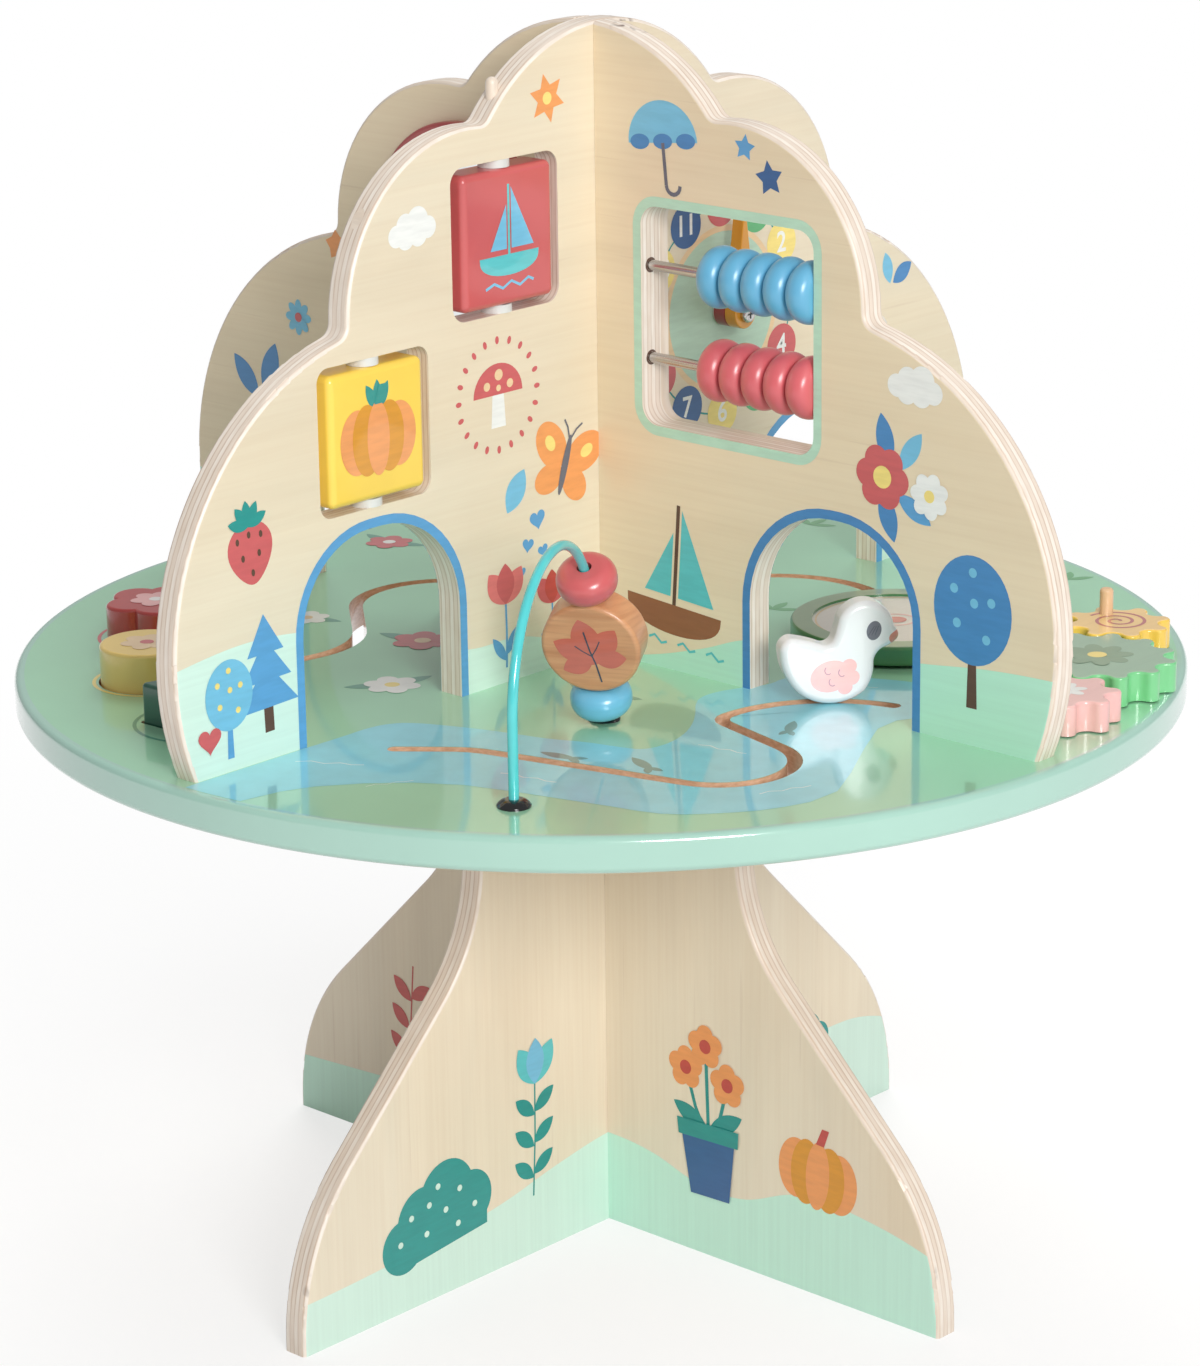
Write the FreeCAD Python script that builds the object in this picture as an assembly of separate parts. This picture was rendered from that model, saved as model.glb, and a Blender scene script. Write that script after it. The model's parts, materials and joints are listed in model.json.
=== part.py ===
import FreeCAD, Part

import math
import os

# Wooden activity table for toddlers: a round top on two crossing leg panels, with two crossing
# play panels standing on it. Origin on the floor at the table's centre, +Z up, millimetres.
# Wings and legs lie along -Y (front left), +X (front right), +Y (back right), -X (back left).

V = FreeCAD.Vector
UP = V(0, 0, 1)

# Driving dimensions
TABLE_R = 250.0
TABLE_T = 15.0
TABLE_TOP = 263.5
TABLE_UNDER = TABLE_TOP - TABLE_T
PANEL_T = 12.0
HALF_T = PANEL_T / 2
LAP_GAP = 0.1
UPPER_LAP_Z = 398.0
LOWER_LAP_Z = 122.0
EDGE_ROUND = 2.0
CUT_ROUND = 0.8
FIT = 0.05
CLEAR = 0.3

# Lobes of the play panels, as (distance from the middle, height, radius)
TOP_LOBE = (0.0, 445.3, 88.0)
MID_LOBE = (80.0, 429.5, 70.0)
LOW_LOBE = (127.5, 308.0, 120.0)
VALLEY_R = 6.0

# Leg outline: hollow curve under the top, swelling curve above the foot
LEG_NECK = 82.0
LEG_HOLLOW = (162.0, 190.0, 80.0)
LEG_SWELL = (92.7, 5.0, 100.0)
LEG_FOOT = 192.7

# Arches through the wings, as (inner jamb, outer jamb, top height)
ARCH_A = (90.9, 179.3, 346.0)
ARCH_B = (90.0, 176.0, 343.8)
ARCH_INNER_R = 43.0
ARCH_OUTER_R = 38.0

# Windows, as (near side, far side, sill height, head height, corner radius)
RED_WINDOW = (28.7, 91.0, 420.5, 483.7, 7.0)
YELLOW_WINDOW = (105.8, 167.6, 354.3, 415.4, 6.0)
BEAD_WINDOW = (31.2, 124.1, 368.0, 460.2, 8.5)

# Turning blocks
BLOCK_W = 52.6
BLOCK_T = 16.0
BLOCK_ROUND = 3.0
BLOCK_WASHER_T = 3.4
BLOCK_WASHER_R = 6.5
AXLE_R = 2.0
AXLE_SEAT = 10.0
PLUG_R = 2.65
PLUG_DEPTH = 8.0
RED_PLUG_PROUD = 4.1

# Bead window
ROD_R = 2.25
ROD_HEIGHTS = {"upper": 434.0, "lower": 395.0}
ROD_SEAT = 8.0
BACK_FRAME_T = 4.6
BACK_FRAME_BORDER = 10.0
BEAD_R = 13.0
BEAD_PITCH = 11.9
BEADS_PER_ROD = 5

# Clock on the back-right wing
CLOCK_Y = 73.0
CLOCK_Z = 399.6
HAND_T = 6.0
HAND_HUB_R = 6.8
MINUTE_HAND = (43.0, 1.0)
HOUR_HAND = (27.0, 1.4)
HOUR_SLANT = 30.0
CLOCK_SPACER_T = 1.2
CLOCK_SCREW_R = 2.5

# Round framed mirror on the back-left wing
MIRROR_S = -70.9
MIRROR_Z = 433.1
MIRROR_FRAME_R = 50.4
MIRROR_VIEW_R = 39.5
MIRROR_R = 43.0
MIRROR_FRAME_T = 5.0
MIRROR_T = 2.0

# Gears: the large one drives two small ones through twelve and eight teeth
GEAR_T = 12.5
GEAR_LIFT = 0.6
LARGE_GEAR = {"teeth": 12, "tip": 33.3, "root": 27.6, "centre": (195.5, 91.5), "phase": 24.0}
SMALL_TEETH = 8
SMALL_TIP = 23.1
SMALL_ROOT = 17.4
TOOTH_R = 3.8
GEAR_DISTANCE = 51.3
YELLOW_BEARING = 116.8
PINK_BEARING = -68.5
GEAR_PIN_R = 2.5
GEAR_PIN_DEPTH = 9.0
CRANK_PEG_R = 2.9
CRANK_PEG_HEIGHT = 11.3

# Turning disc
SPINNER_CENTRE = (90.0, 90.0)
SPINNER_R = 45.5
SPINNER_T = 8.6
SPINNER_LIFT = 1.2
SPINNER_DISH_R = 36.3
SPINNER_DISH_DEPTH = 2.2

# Slots cut through the tabletop
SLOT_W = 6.2
BIRD_SLOT = [((34.5, -158.0), 0.0), ((58.0, -138.5), 40.0), ((172.4, -108.9), 29.5),
             ((172.4, -62.0), 29.5), ((106.2, -45.8), 9.4), ((106.2, -38.4), 0.0)]
BIRD_ARC = {"centre": (160.8, -38.4), "radius": 54.6, "start": 180.0, "end": 102.1}
HEDGEHOG_SLOT = [((-84.0, -97.0), 0.0), ((-78.7, -66.1), 42.0), ((-154.6, 1.2), 38.7),
                 ((7.5, 153.9), 49.9), ((45.6, 136.2), 0.0)]

# Sliding figures
BIRD_BEARING = 129.0
BIRD_HEADING = 54.0
FIGURE_T = 12.0
FIGURE_LIFT = 0.5
FIGURE_ROUND = 3.0
FIGURE_CORNER_R = 3.2
FIGURE_PIN_R = 2.6
FIGURE_PIN_DEPTH = 9.0
GLIDE_R = 9.0
GLIDE_T = 3.0
HEDGEHOG_PLACE = (-70.35, 80.5)
HEDGEHOG_HEADING = 43.3

# Bead wire: front leg upright, arch of two radii, back leg leaning
WIRE_R = 2.05
WIRE_FRONT = (119.4, -178.0)
WIRE_BACK = (71.3, -75.1)
WIRE_FRONT_ARCH_R = 54.5
WIRE_BACK_ARCH_R = 45.0
WIRE_APEX_Z = 351.0
WIRE_LEAN = 16.0
WIRE_SEAT = 9.0
COLLAR_R = 6.8
COLLAR_T = 3.0
WOOD_DISC_R = 20.5
WOOD_DISC_T = 16.0

# Lift-out shape blocks on an arc of the left quarter
SHAPE_PLACES = {"red": (194.0, 215.8), "yellow": (194.5, 235.1), "green": (191.9, 254.6)}
SHAPE_R = 20.0
STAR_CORNER_R = 2.2
SHAPE_PROUD = 16.7
SOCKET_DEPTH = 5.0
SOCKET_GAP = 0.9

# Fasteners
DOWEL_R = 4.0
DOWEL_S = 52.0
DOWEL_DEPTH = 14.0
SCREW_R = 2.2
SCREW_HEAD_R = 4.4
SCREW_HEAD_T = 2.6
LEG_SCREW_S = 70.0
WING_SCREW_S = 209.0
SCREW_DEPTH = 28.0

EPS = 1.0


# Small geometry helpers
def polar(radius, degrees):
    angle = math.radians(degrees)
    return V(radius * math.cos(angle), radius * math.sin(angle), 0)


def line(a, b):
    return Part.LineSegment(a, b).toShape()


def arc(a, through, b):
    return Part.Arc(a, through, b).toShape()


def mid_of_arc(centre, a, b):
    """Point on the short arc from a to b about centre."""
    half = (a + b) * 0.5 - centre
    return centre + half.normalize() * (a - centre).Length


def prism(edges, direction):
    return Part.Face(Part.Wire(edges)).extrude(direction)


def disc(radius, height, at, axis=UP):
    return Part.makeCylinder(radius, height, at, axis)


def ring(outer, inner, height, at, axis=UP):
    return disc(outer, height, at, axis).cut(disc(inner, height, at, axis))


def fuse(shapes):
    result = shapes[0].fuse(shapes[1:]) if len(shapes) > 1 else shapes[0]
    return result.removeSplitter()


def on_table(xy, height=0.0):
    return V(xy[0], xy[1], TABLE_TOP + height)


def turned(shape, at, axis):
    """Moves a shape made about +Z at the origin to a place and direction."""
    shape.Placement = FreeCAD.Placement(at, FreeCAD.Rotation(UP, axis))
    return shape


def rounded_path(corners):
    """Wire through (point, radius) corners, with a tangent arc at each corner."""
    points = [V(x, y, 0) for (x, y), _ in corners]
    edges = []
    last = points[0]
    for i in range(1, len(points) - 1):
        into = (points[i] - points[i - 1]).normalize()
        out = (points[i + 1] - points[i]).normalize()
        half_turn = into.getAngle(out) / 2
        reach = corners[i][1] * math.tan(half_turn)
        a = points[i] - into * reach
        b = points[i] + out * reach
        centre_way = (out - into).normalize()
        centre = points[i] + centre_way * (corners[i][1] / math.cos(half_turn))
        if (a - last).Length > 1e-3:
            edges.append(line(last, a))
        edges.append(arc(a, centre - centre_way * corners[i][1], b))
        last = b
    if (points[-1] - last).Length > 1e-3:
        edges.append(line(last, points[-1]))
    return edges


def softened(edges, radius):
    """Closed outline with every corner, outer and inner, rounded to a radius."""
    outline = Part.Wire(edges)
    for step in (-radius, 2 * radius, -radius):
        outline = outline.makeOffset2D(step, 0, False, False)
    return outline.Edges


def slot_tool(edges):
    """Solid that cuts a round-ended slot along a centre line through the tabletop."""
    outline = Part.Wire(edges).makeOffset2D(SLOT_W / 2, 0, False, False)
    face = Part.Face(outline)
    face.translate(V(0, 0, TABLE_UNDER - EPS))
    return face.extrude(V(0, 0, TABLE_T + 2 * EPS))


# Panels
class PanelPlane:
    """Places a drawing in (distance along the wings, height) on panel A or panel B."""

    def __init__(self, along, normal):
        self.along = along
        self.normal = normal

    def point(self, s, z, depth=0.0):
        return self.along * s + self.normal * depth + V(0, 0, z)

    def prism(self, edges, low=-HALF_T, high=HALF_T):
        solid = prism(edges, self.normal * (high - low))
        solid.translate(self.normal * low)
        return solid

    def hole(self, s, z, radius, low=-HALF_T - EPS, high=HALF_T + EPS):
        return disc(radius, high - low, self.point(s, z, low), self.normal)

    def rectangle(self, near, far, low_z, high_z, radius):
        """Rounded rectangle as a list of edges."""
        corners = [(near, low_z, 1, 1), (far, low_z, -1, 1), (far, high_z, -1, -1), (near, high_z, 1, -1)]
        edges = []
        ends = []
        for s, z, ds, dz in corners:
            first = self.point(s, z + dz * radius) if ds * dz > 0 else self.point(s + ds * radius, z)
            second = self.point(s + ds * radius, z) if ds * dz > 0 else self.point(s, z + dz * radius)
            slack = radius * (1 - math.sqrt(0.5))
            edges.append(arc(first, self.point(s + ds * slack, z + dz * slack), second))
            ends.append((first, second))
        for i in range(4):
            edges.append(line(ends[i][1], ends[(i + 1) % 4][0]))
        return Part.__sortEdges__(edges)


PANEL_A = PanelPlane(V(0, 1, 0), V(1, 0, 0))
PANEL_B = PanelPlane(V(1, 0, 0), V(0, 1, 0))


def valley(first, second):
    """Hollow arc joining two lobes: its two ends and middle, in (s, z)."""
    (s1, z1, r1), (s2, z2, r2) = first, second
    span = math.hypot(s2 - s1, z2 - z1)
    reach1 = r1 + VALLEY_R
    reach2 = r2 + VALLEY_R
    along = (span ** 2 + reach1 ** 2 - reach2 ** 2) / (2 * span)
    across = math.sqrt(reach1 ** 2 - along ** 2)
    us, uz = (s2 - s1) / span, (z2 - z1) / span
    centre = V(s1 + us * along + uz * across * 1, z1 + uz * along - us * across * 1, 0)
    if centre.y < z1 + uz * along:
        centre = V(s1 + us * along - uz * across, z1 + uz * along + us * across, 0)
    end1 = V(s1, z1, 0) + (centre - V(s1, z1, 0)) * (r1 / reach1)
    end2 = V(s2, z2, 0) + (centre - V(s2, z2, 0)) * (r2 / reach2)
    middle = mid_of_arc(centre, end1, end2)
    return end1, middle, end2


def lobe_height(s):
    """Height of the play panel's outline at a distance from the middle."""
    heights = []
    for centre, z, radius in (TOP_LOBE, MID_LOBE, LOW_LOBE):
        if abs(s - centre) < radius:
            heights.append(z + math.sqrt(radius ** 2 - (s - centre) ** 2))
    return max(heights)


def upper_outline(plane):
    """Three lobes a side, from foot to foot."""
    low_end, low_mid, mid_start = valley(LOW_LOBE, MID_LOBE)
    mid_end, top_mid, top_start = valley(MID_LOBE, TOP_LOBE)
    foot_s = LOW_LOBE[0] + math.sqrt(LOW_LOBE[2] ** 2 - (LOW_LOBE[1] - TABLE_TOP) ** 2)
    foot = V(foot_s, TABLE_TOP, 0)
    low_centre = V(LOW_LOBE[0], LOW_LOBE[1], 0)
    mid_centre = V(MID_LOBE[0], MID_LOBE[1], 0)
    half = [
        (foot, mid_of_arc(low_centre, foot, low_end), low_end),
        (low_end, low_mid, mid_start),
        (mid_start, mid_of_arc(mid_centre, mid_start, mid_end), mid_end),
        (mid_end, top_mid, top_start),
    ]
    edges = []
    for side in (1, -1):
        for triple in half:
            edges.append(arc(*[plane.point(side * p.x, p.y) for p in triple]))
    crown = V(TOP_LOBE[0], TOP_LOBE[1] + TOP_LOBE[2], 0)
    edges.append(arc(plane.point(top_start.x, top_start.y), plane.point(crown.x, crown.y),
                     plane.point(-top_start.x, top_start.y)))
    edges.append(line(plane.point(foot_s, TABLE_TOP), plane.point(-foot_s, TABLE_TOP)))
    return Part.__sortEdges__(edges)


def lower_outline(plane):
    """Leg panel: narrow under the tabletop, spreading to wide feet."""
    hollow = V(LEG_HOLLOW[0], LEG_HOLLOW[1], 0)
    swell = V(LEG_SWELL[0], LEG_SWELL[1], 0)
    between = swell - hollow
    swing = math.degrees(math.acos((LEG_HOLLOW[2] + LEG_SWELL[2]) / between.Length))
    bearing = math.degrees(math.atan2(between.y, between.x)) - swing
    leave = hollow + polar(LEG_HOLLOW[2], bearing)
    meet = swell - polar(LEG_SWELL[2], bearing)
    neck = V(LEG_NECK, LEG_HOLLOW[1], 0)
    ankle = V(LEG_FOOT, LEG_SWELL[1], 0)
    half = [
        (V(LEG_NECK, TABLE_UNDER, 0), neck),
        (neck, mid_of_arc(hollow, neck, leave), leave),
        (leave, meet),
        (meet, mid_of_arc(swell, meet, ankle), ankle),
        (ankle, V(LEG_FOOT, 0, 0)),
    ]
    edges = []
    for side in (1, -1):
        for points in half:
            placed = [plane.point(side * p.x, p.y) for p in points]
            edges.append(line(*placed) if len(placed) == 2 else arc(*placed))
    edges.append(line(plane.point(LEG_NECK, TABLE_UNDER), plane.point(-LEG_NECK, TABLE_UNDER)))
    edges.append(line(plane.point(LEG_FOOT, 0), plane.point(-LEG_FOOT, 0)))
    return Part.__sortEdges__(edges)


def round_outline(solid, plane, flat_heights):
    """Rounds the outline's edges on both faces, but not where the panel stands on something."""
    chosen = []
    for edge in solid.Edges:
        box = edge.BoundBox
        depths = [plane.normal.dot(v.Point) for v in edge.Vertexes]
        on_face = all(abs(abs(d) - HALF_T) < 1e-6 for d in depths)
        flat = any(abs(box.ZMin - z) < 1e-6 and abs(box.ZMax - z) < 1e-6 for z in flat_heights)
        across = abs(depths[0] - depths[-1]) > 1
        if on_face and not flat and not across:
            chosen.append(edge)
    return solid.makeFillet(EDGE_ROUND, chosen)


def arch_outline(plane, side, arch):
    near, far, top = arch
    low = TABLE_TOP - EPS
    slack_in = ARCH_INNER_R * (1 - math.sqrt(0.5))
    slack_out = ARCH_OUTER_R * (1 - math.sqrt(0.5))

    def at(s, z):
        return plane.point(side * s, z)

    return [
        line(at(near, low), at(near, top - ARCH_INNER_R)),
        arc(at(near, top - ARCH_INNER_R), at(near + slack_in, top - slack_in), at(near + ARCH_INNER_R, top)),
        line(at(near + ARCH_INNER_R, top), at(far - ARCH_OUTER_R, top)),
        arc(at(far - ARCH_OUTER_R, top), at(far - slack_out, top - slack_out), at(far, top - ARCH_OUTER_R)),
        line(at(far, top - ARCH_OUTER_R), at(far, low)),
        line(at(far, low), at(near, low)),
    ]


def lap_cut(plane, low, high):
    """Slot for the crossing panel."""
    half = HALF_T + LAP_GAP
    edges = Part.makePolygon([plane.point(-half, low), plane.point(half, low), plane.point(half, high),
                              plane.point(-half, high), plane.point(-half, low)]).Edges
    return plane.prism(edges, -HALF_T - EPS, HALF_T + EPS)


def window_cut(plane, side, window):
    near, far, low, high, radius = window
    edges = plane.rectangle(min(side * near, side * far), max(side * near, side * far), low, high, radius)
    return plane.prism(edges, -HALF_T - EPS, HALF_T + EPS)


def panel_blank(plane, outline, flat_heights):
    return round_outline(plane.prism(outline), plane, flat_heights)


# Turning blocks in the front-left wing
def block_place(window):
    near, far, low, high, _ = window
    return V(0, -(near + far) / 2, low), high - low


def plug_foot(window):
    """Lower end of the plug that closes the axle's bore in the wing's edge."""
    foot, _ = block_place(window)
    return V(0, foot.y, lobe_height(-foot.y) - PLUG_DEPTH)


def axle_bore(window):
    """Narrow bore for the axle and wide bore for the plug."""
    foot, _ = block_place(window)
    plug = plug_foot(window)
    narrow = disc(AXLE_R, plug.z - foot.z + AXLE_SEAT, foot - V(0, 0, AXLE_SEAT))
    return narrow.fuse(disc(PLUG_R, 30, plug))


def block_axle(window):
    foot, _ = block_place(window)
    return disc(AXLE_R, plug_foot(window).z - foot.z + AXLE_SEAT, foot - V(0, 0, AXLE_SEAT))


def axle_plugs(blank):
    """The red block's plug stands proud with a round end; the yellow block's is sanded flush."""
    red = plug_foot(RED_WINDOW)
    stem = PLUG_DEPTH + RED_PLUG_PROUD
    proud = fuse([disc(PLUG_R, stem, red), Part.makeSphere(PLUG_R, red + V(0, 0, stem))])
    flush = disc(PLUG_R, 30, plug_foot(YELLOW_WINDOW)).common(blank)
    return Part.makeCompound([proud, flush])


def turning_block(window):
    foot, height = block_place(window)
    gap = BLOCK_WASHER_T + 0.1
    body = Part.makeBox(BLOCK_T, BLOCK_W, height - 2 * gap,
                        foot + V(-BLOCK_T / 2, -BLOCK_W / 2, gap))
    body = body.makeFillet(BLOCK_ROUND, body.Edges)
    return body.cut(disc(AXLE_R + FIT, height, foot))


def block_washers(window):
    foot, height = block_place(window)
    lower = ring(BLOCK_WASHER_R, AXLE_R, BLOCK_WASHER_T, foot)
    upper = ring(BLOCK_WASHER_R, AXLE_R, BLOCK_WASHER_T, foot + V(0, 0, height - BLOCK_WASHER_T))
    return Part.makeCompound([lower, upper])


def upper_panel_a_parts():
    """Front-left and back-right wings, slotted from below, and the plugs in their edge."""
    panel = panel_blank(PANEL_A, upper_outline(PANEL_A), [TABLE_TOP])
    cuts = [lap_cut(PANEL_A, TABLE_TOP - EPS, UPPER_LAP_Z)]
    for side in (-1, 1):
        cuts.append(PANEL_A.prism(arch_outline(PANEL_A, side, ARCH_A), -HALF_T - EPS, HALF_T + EPS))
    for window in (RED_WINDOW, YELLOW_WINDOW):
        cuts.append(window_cut(PANEL_A, -1, window))
        cuts.append(axle_bore(window))
    cuts.append(disc(CLOCK_SCREW_R, PANEL_T - 2, V(2 - HALF_T, CLOCK_Y, CLOCK_Z), V(1, 0, 0)))
    cuts += dowel_holes(PANEL_A) + wing_screw_holes(PANEL_A)
    return {"upper_panel_a": panel.cut(cuts), "axle_plugs": axle_plugs(panel)}


def upper_panel_b():
    """Front-right and back-left wings; slotted from above."""
    panel = panel_blank(PANEL_B, upper_outline(PANEL_B), [TABLE_TOP])
    cuts = [lap_cut(PANEL_B, UPPER_LAP_Z, TOP_LOBE[1] + TOP_LOBE[2] + EPS)]
    for side in (-1, 1):
        cuts.append(PANEL_B.prism(arch_outline(PANEL_B, side, ARCH_B), -HALF_T - EPS, HALF_T + EPS))
    cuts.append(window_cut(PANEL_B, 1, BEAD_WINDOW))
    cuts += [rod_shape(z, ROD_SEAT) for z in ROD_HEIGHTS.values()]
    cuts += dowel_holes(PANEL_B) + wing_screw_holes(PANEL_B)
    return panel.cut(cuts)


def lower_panel(plane, lap_low, lap_high):
    panel = panel_blank(plane, lower_outline(plane), [TABLE_UNDER, 0.0])
    return panel.cut([lap_cut(plane, lap_low, lap_high)] + leg_screw_holes(plane))


# Bead window
def rod_shape(z, seat):
    near, far = BEAD_WINDOW[:2]
    return disc(ROD_R, far - near + 2 * seat, V(near - seat, 0, z), V(1, 0, 0))


def bead(radius, width, hole_r, flat_share=0.52):
    """Round-shouldered bead about +Z, centred at the origin."""
    flat_r = radius * flat_share
    half = width / 2
    shoulder = V(flat_r + (radius - flat_r) * 0.74, 0, half * 0.72)
    edges = [
        line(V(hole_r, 0, -half), V(flat_r, 0, -half)),
        arc(V(flat_r, 0, -half), V(shoulder.x, 0, -shoulder.z), V(radius, 0, 0)),
        arc(V(radius, 0, 0), shoulder, V(flat_r, 0, half)),
        line(V(flat_r, 0, half), V(hole_r, 0, half)),
        line(V(hole_r, 0, half), V(hole_r, 0, -half)),
    ]
    return Part.Face(Part.Wire(edges)).revolve(V(0, 0, 0), UP, 360)


def counting_beads():
    """Five beads a rod, pushed against the far jamb; number one is the leftmost."""
    parts = {}
    for colour, rod in (("blue", "upper"), ("coral", "lower")):
        for i in range(BEADS_PER_ROD):
            x = BEAD_WINDOW[1] - 0.2 - BEAD_PITCH * (BEADS_PER_ROD - 0.5 - i)
            shape = bead(BEAD_R, BEAD_PITCH - CLEAR, ROD_R + CLEAR)
            place = V(x, 0, ROD_HEIGHTS[rod])
            parts["%s_bead_%d" % (colour, i + 1)] = turned(shape, place, V(1, 0, 0))
    return parts


def abacus_frame():
    """Thin frame glued behind the bead window."""
    near, far, low, high, radius = BEAD_WINDOW
    border = BACK_FRAME_BORDER
    outer = PANEL_B.rectangle(near - border, far + border, low - border, high + border, radius + border / 2)
    inner = PANEL_B.rectangle(near, far, low, high, radius)
    face = HALF_T
    plate = PANEL_B.prism(outer, face, face + BACK_FRAME_T)
    return plate.cut(PANEL_B.prism(inner, face - EPS, face + BACK_FRAME_T + EPS))


# Clock
def clock_hand(shape, direction, depth):
    """Hand that tapers from its round hub to a narrow tip, lying over the clock's face."""
    length, tip_r = shape
    hub = V(depth, CLOCK_Y, CLOCK_Z)
    across = V(1, 0, 0).cross(direction)
    tip = hub + direction * (length - tip_r)
    lean = math.asin((HAND_HUB_R - tip_r) / (length - tip_r))
    side = across * math.cos(lean) + direction * math.sin(lean)
    other = direction * math.sin(lean) - across * math.cos(lean)
    edges = [
        line(hub + side * HAND_HUB_R, tip + side * tip_r),
        arc(tip + side * tip_r, tip + direction * tip_r, tip + other * tip_r),
        line(tip + other * tip_r, hub + other * HAND_HUB_R),
        arc(hub + other * HAND_HUB_R, hub - direction * HAND_HUB_R, hub + side * HAND_HUB_R),
    ]
    blank = prism(edges, V(HAND_T, 0, 0))
    rim = [e for e in blank.Edges if abs(e.BoundBox.XMin - depth - HAND_T) < 1e-6]
    blank = blank.makeFillet(0.6, rim)
    return blank.cut(disc(CLOCK_SCREW_R + FIT, HAND_T, hub, V(1, 0, 0)))


def pan_head(at, axis):
    """Low round screw head with a crossed recess."""
    head = disc(3.9, 1.2, V(0, 0, 0)).fuse(disc(3.9, 1.3, V(0, 0, 1.2)))
    head = head.removeSplitter()
    head = head.makeFillet(1.2, [e for e in head.Edges if abs(e.BoundBox.ZMin - 2.5) < 1e-6])
    bars = [Part.makeBox(4.0, 0.9, 2.0, V(-2.0, -0.45, 1.3)), Part.makeBox(0.9, 4.0, 2.0, V(-0.45, -2.0, 1.3))]
    return turned(head.cut(bars), at, axis)


def clock_parts():
    out = V(1, 0, 0)
    slant = math.radians(HOUR_SLANT)
    hour_at = HALF_T + CLOCK_SPACER_T + 0.2
    minute_at = hour_at + HAND_T + 0.4
    head_at = minute_at + HAND_T + 0.2
    face = V(HALF_T, CLOCK_Y, CLOCK_Z)
    shank = disc(CLOCK_SCREW_R, head_at + HALF_T - 2, V(2 - HALF_T, CLOCK_Y, CLOCK_Z), out)
    return {
        "clock_hour_hand": clock_hand(HOUR_HAND, V(0, math.cos(slant), math.sin(slant)), hour_at),
        "clock_minute_hand": clock_hand(MINUTE_HAND, V(0, 0, 1), minute_at),
        "clock_spacer": ring(6.0, CLOCK_SCREW_R, CLOCK_SPACER_T, face, out),
        "clock_screw": fuse([shank, pan_head(V(head_at, CLOCK_Y, CLOCK_Z), out)]),
    }


# Mirror
def mirror_parts():
    face = V(MIRROR_S, -HALF_T, MIRROR_Z)
    out = V(0, -1, 0)
    frame = disc(MIRROR_FRAME_R, MIRROR_FRAME_T, face, out)
    rim = [e for e in frame.Edges if abs(e.BoundBox.YMin + HALF_T + MIRROR_FRAME_T) < 1e-6
           and abs(e.BoundBox.YMax - e.BoundBox.YMin) < 1e-6]
    frame = frame.makeFillet(1.8, rim)
    frame = frame.cut([disc(MIRROR_VIEW_R, MIRROR_FRAME_T + EPS, face, out),
                       disc(MIRROR_R, MIRROR_T, face, out)])
    return {"mirror_frame": frame, "mirror": disc(MIRROR_R, MIRROR_T, face, out)}


# Gears
def gear_outline(teeth, tip, root):
    """Round lobes joined by round hollows, each arc tangent to the next."""
    half_step = math.pi / teeth
    tip_centre = tip - TOOTH_R

    def miss(hollow_r):
        reach = root + hollow_r
        span2 = tip_centre ** 2 + reach ** 2 - 2 * tip_centre * reach * math.cos(half_step)
        return math.sqrt(span2) - TOOTH_R - hollow_r

    low, high = 0.5, 15.0
    for _ in range(60):
        middle = (low + high) / 2
        low, high = (middle, high) if miss(middle) > 0 else (low, middle)
    hollow_r = (low + high) / 2
    step = 360.0 / teeth
    edges = []
    for i in range(teeth):
        lobe = polar(tip_centre, i * step)
        before = polar(root + hollow_r, (i - 0.5) * step)
        after = polar(root + hollow_r, (i + 0.5) * step)
        share = TOOTH_R / (TOOTH_R + hollow_r)
        a = lobe + (before - lobe) * share
        b = lobe + (after - lobe) * share
        next_lobe = polar(tip_centre, (i + 1) * step)
        c = next_lobe + (after - next_lobe) * share
        edges.append(arc(a, polar(tip, i * step), b))
        edges.append(arc(b, polar(root, (i + 0.5) * step), c))
    return edges


def gear(teeth, tip, root, centre, phase):
    solid = prism(gear_outline(teeth, tip, root), V(0, 0, GEAR_T))
    rim = [e for e in solid.Edges if abs(e.BoundBox.ZMin - GEAR_T) < 1e-6]
    solid = solid.makeFillet(1.2, rim)
    solid = solid.cut(disc(GEAR_PIN_R + FIT, GEAR_PIN_DEPTH, V(0, 0, 0)))
    solid.Placement = FreeCAD.Placement(on_table(centre, GEAR_LIFT), FreeCAD.Rotation(UP, phase))
    return solid


def small_gear_centre(bearing):
    away = polar(GEAR_DISTANCE, bearing)
    return (LARGE_GEAR["centre"][0] + away.x, LARGE_GEAR["centre"][1] + away.y)


def gear_centres():
    return [small_gear_centre(YELLOW_BEARING), LARGE_GEAR["centre"], small_gear_centre(PINK_BEARING)]


def small_gear_phase(bearing):
    """Turns a small gear so that a hollow faces the large gear's nearest lobe."""
    step = 360.0 / LARGE_GEAR["teeth"]
    off = (bearing - LARGE_GEAR["phase"] + step / 2) % step - step / 2
    ratio = LARGE_GEAR["teeth"] / SMALL_TEETH
    return bearing + 180.0 + off * ratio + 180.0 / SMALL_TEETH


def crank_peg_place():
    centre = small_gear_centre(YELLOW_BEARING)
    offset = polar(12.0, 150.0)
    return (centre[0] + offset.x, centre[1] + offset.y)


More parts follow.
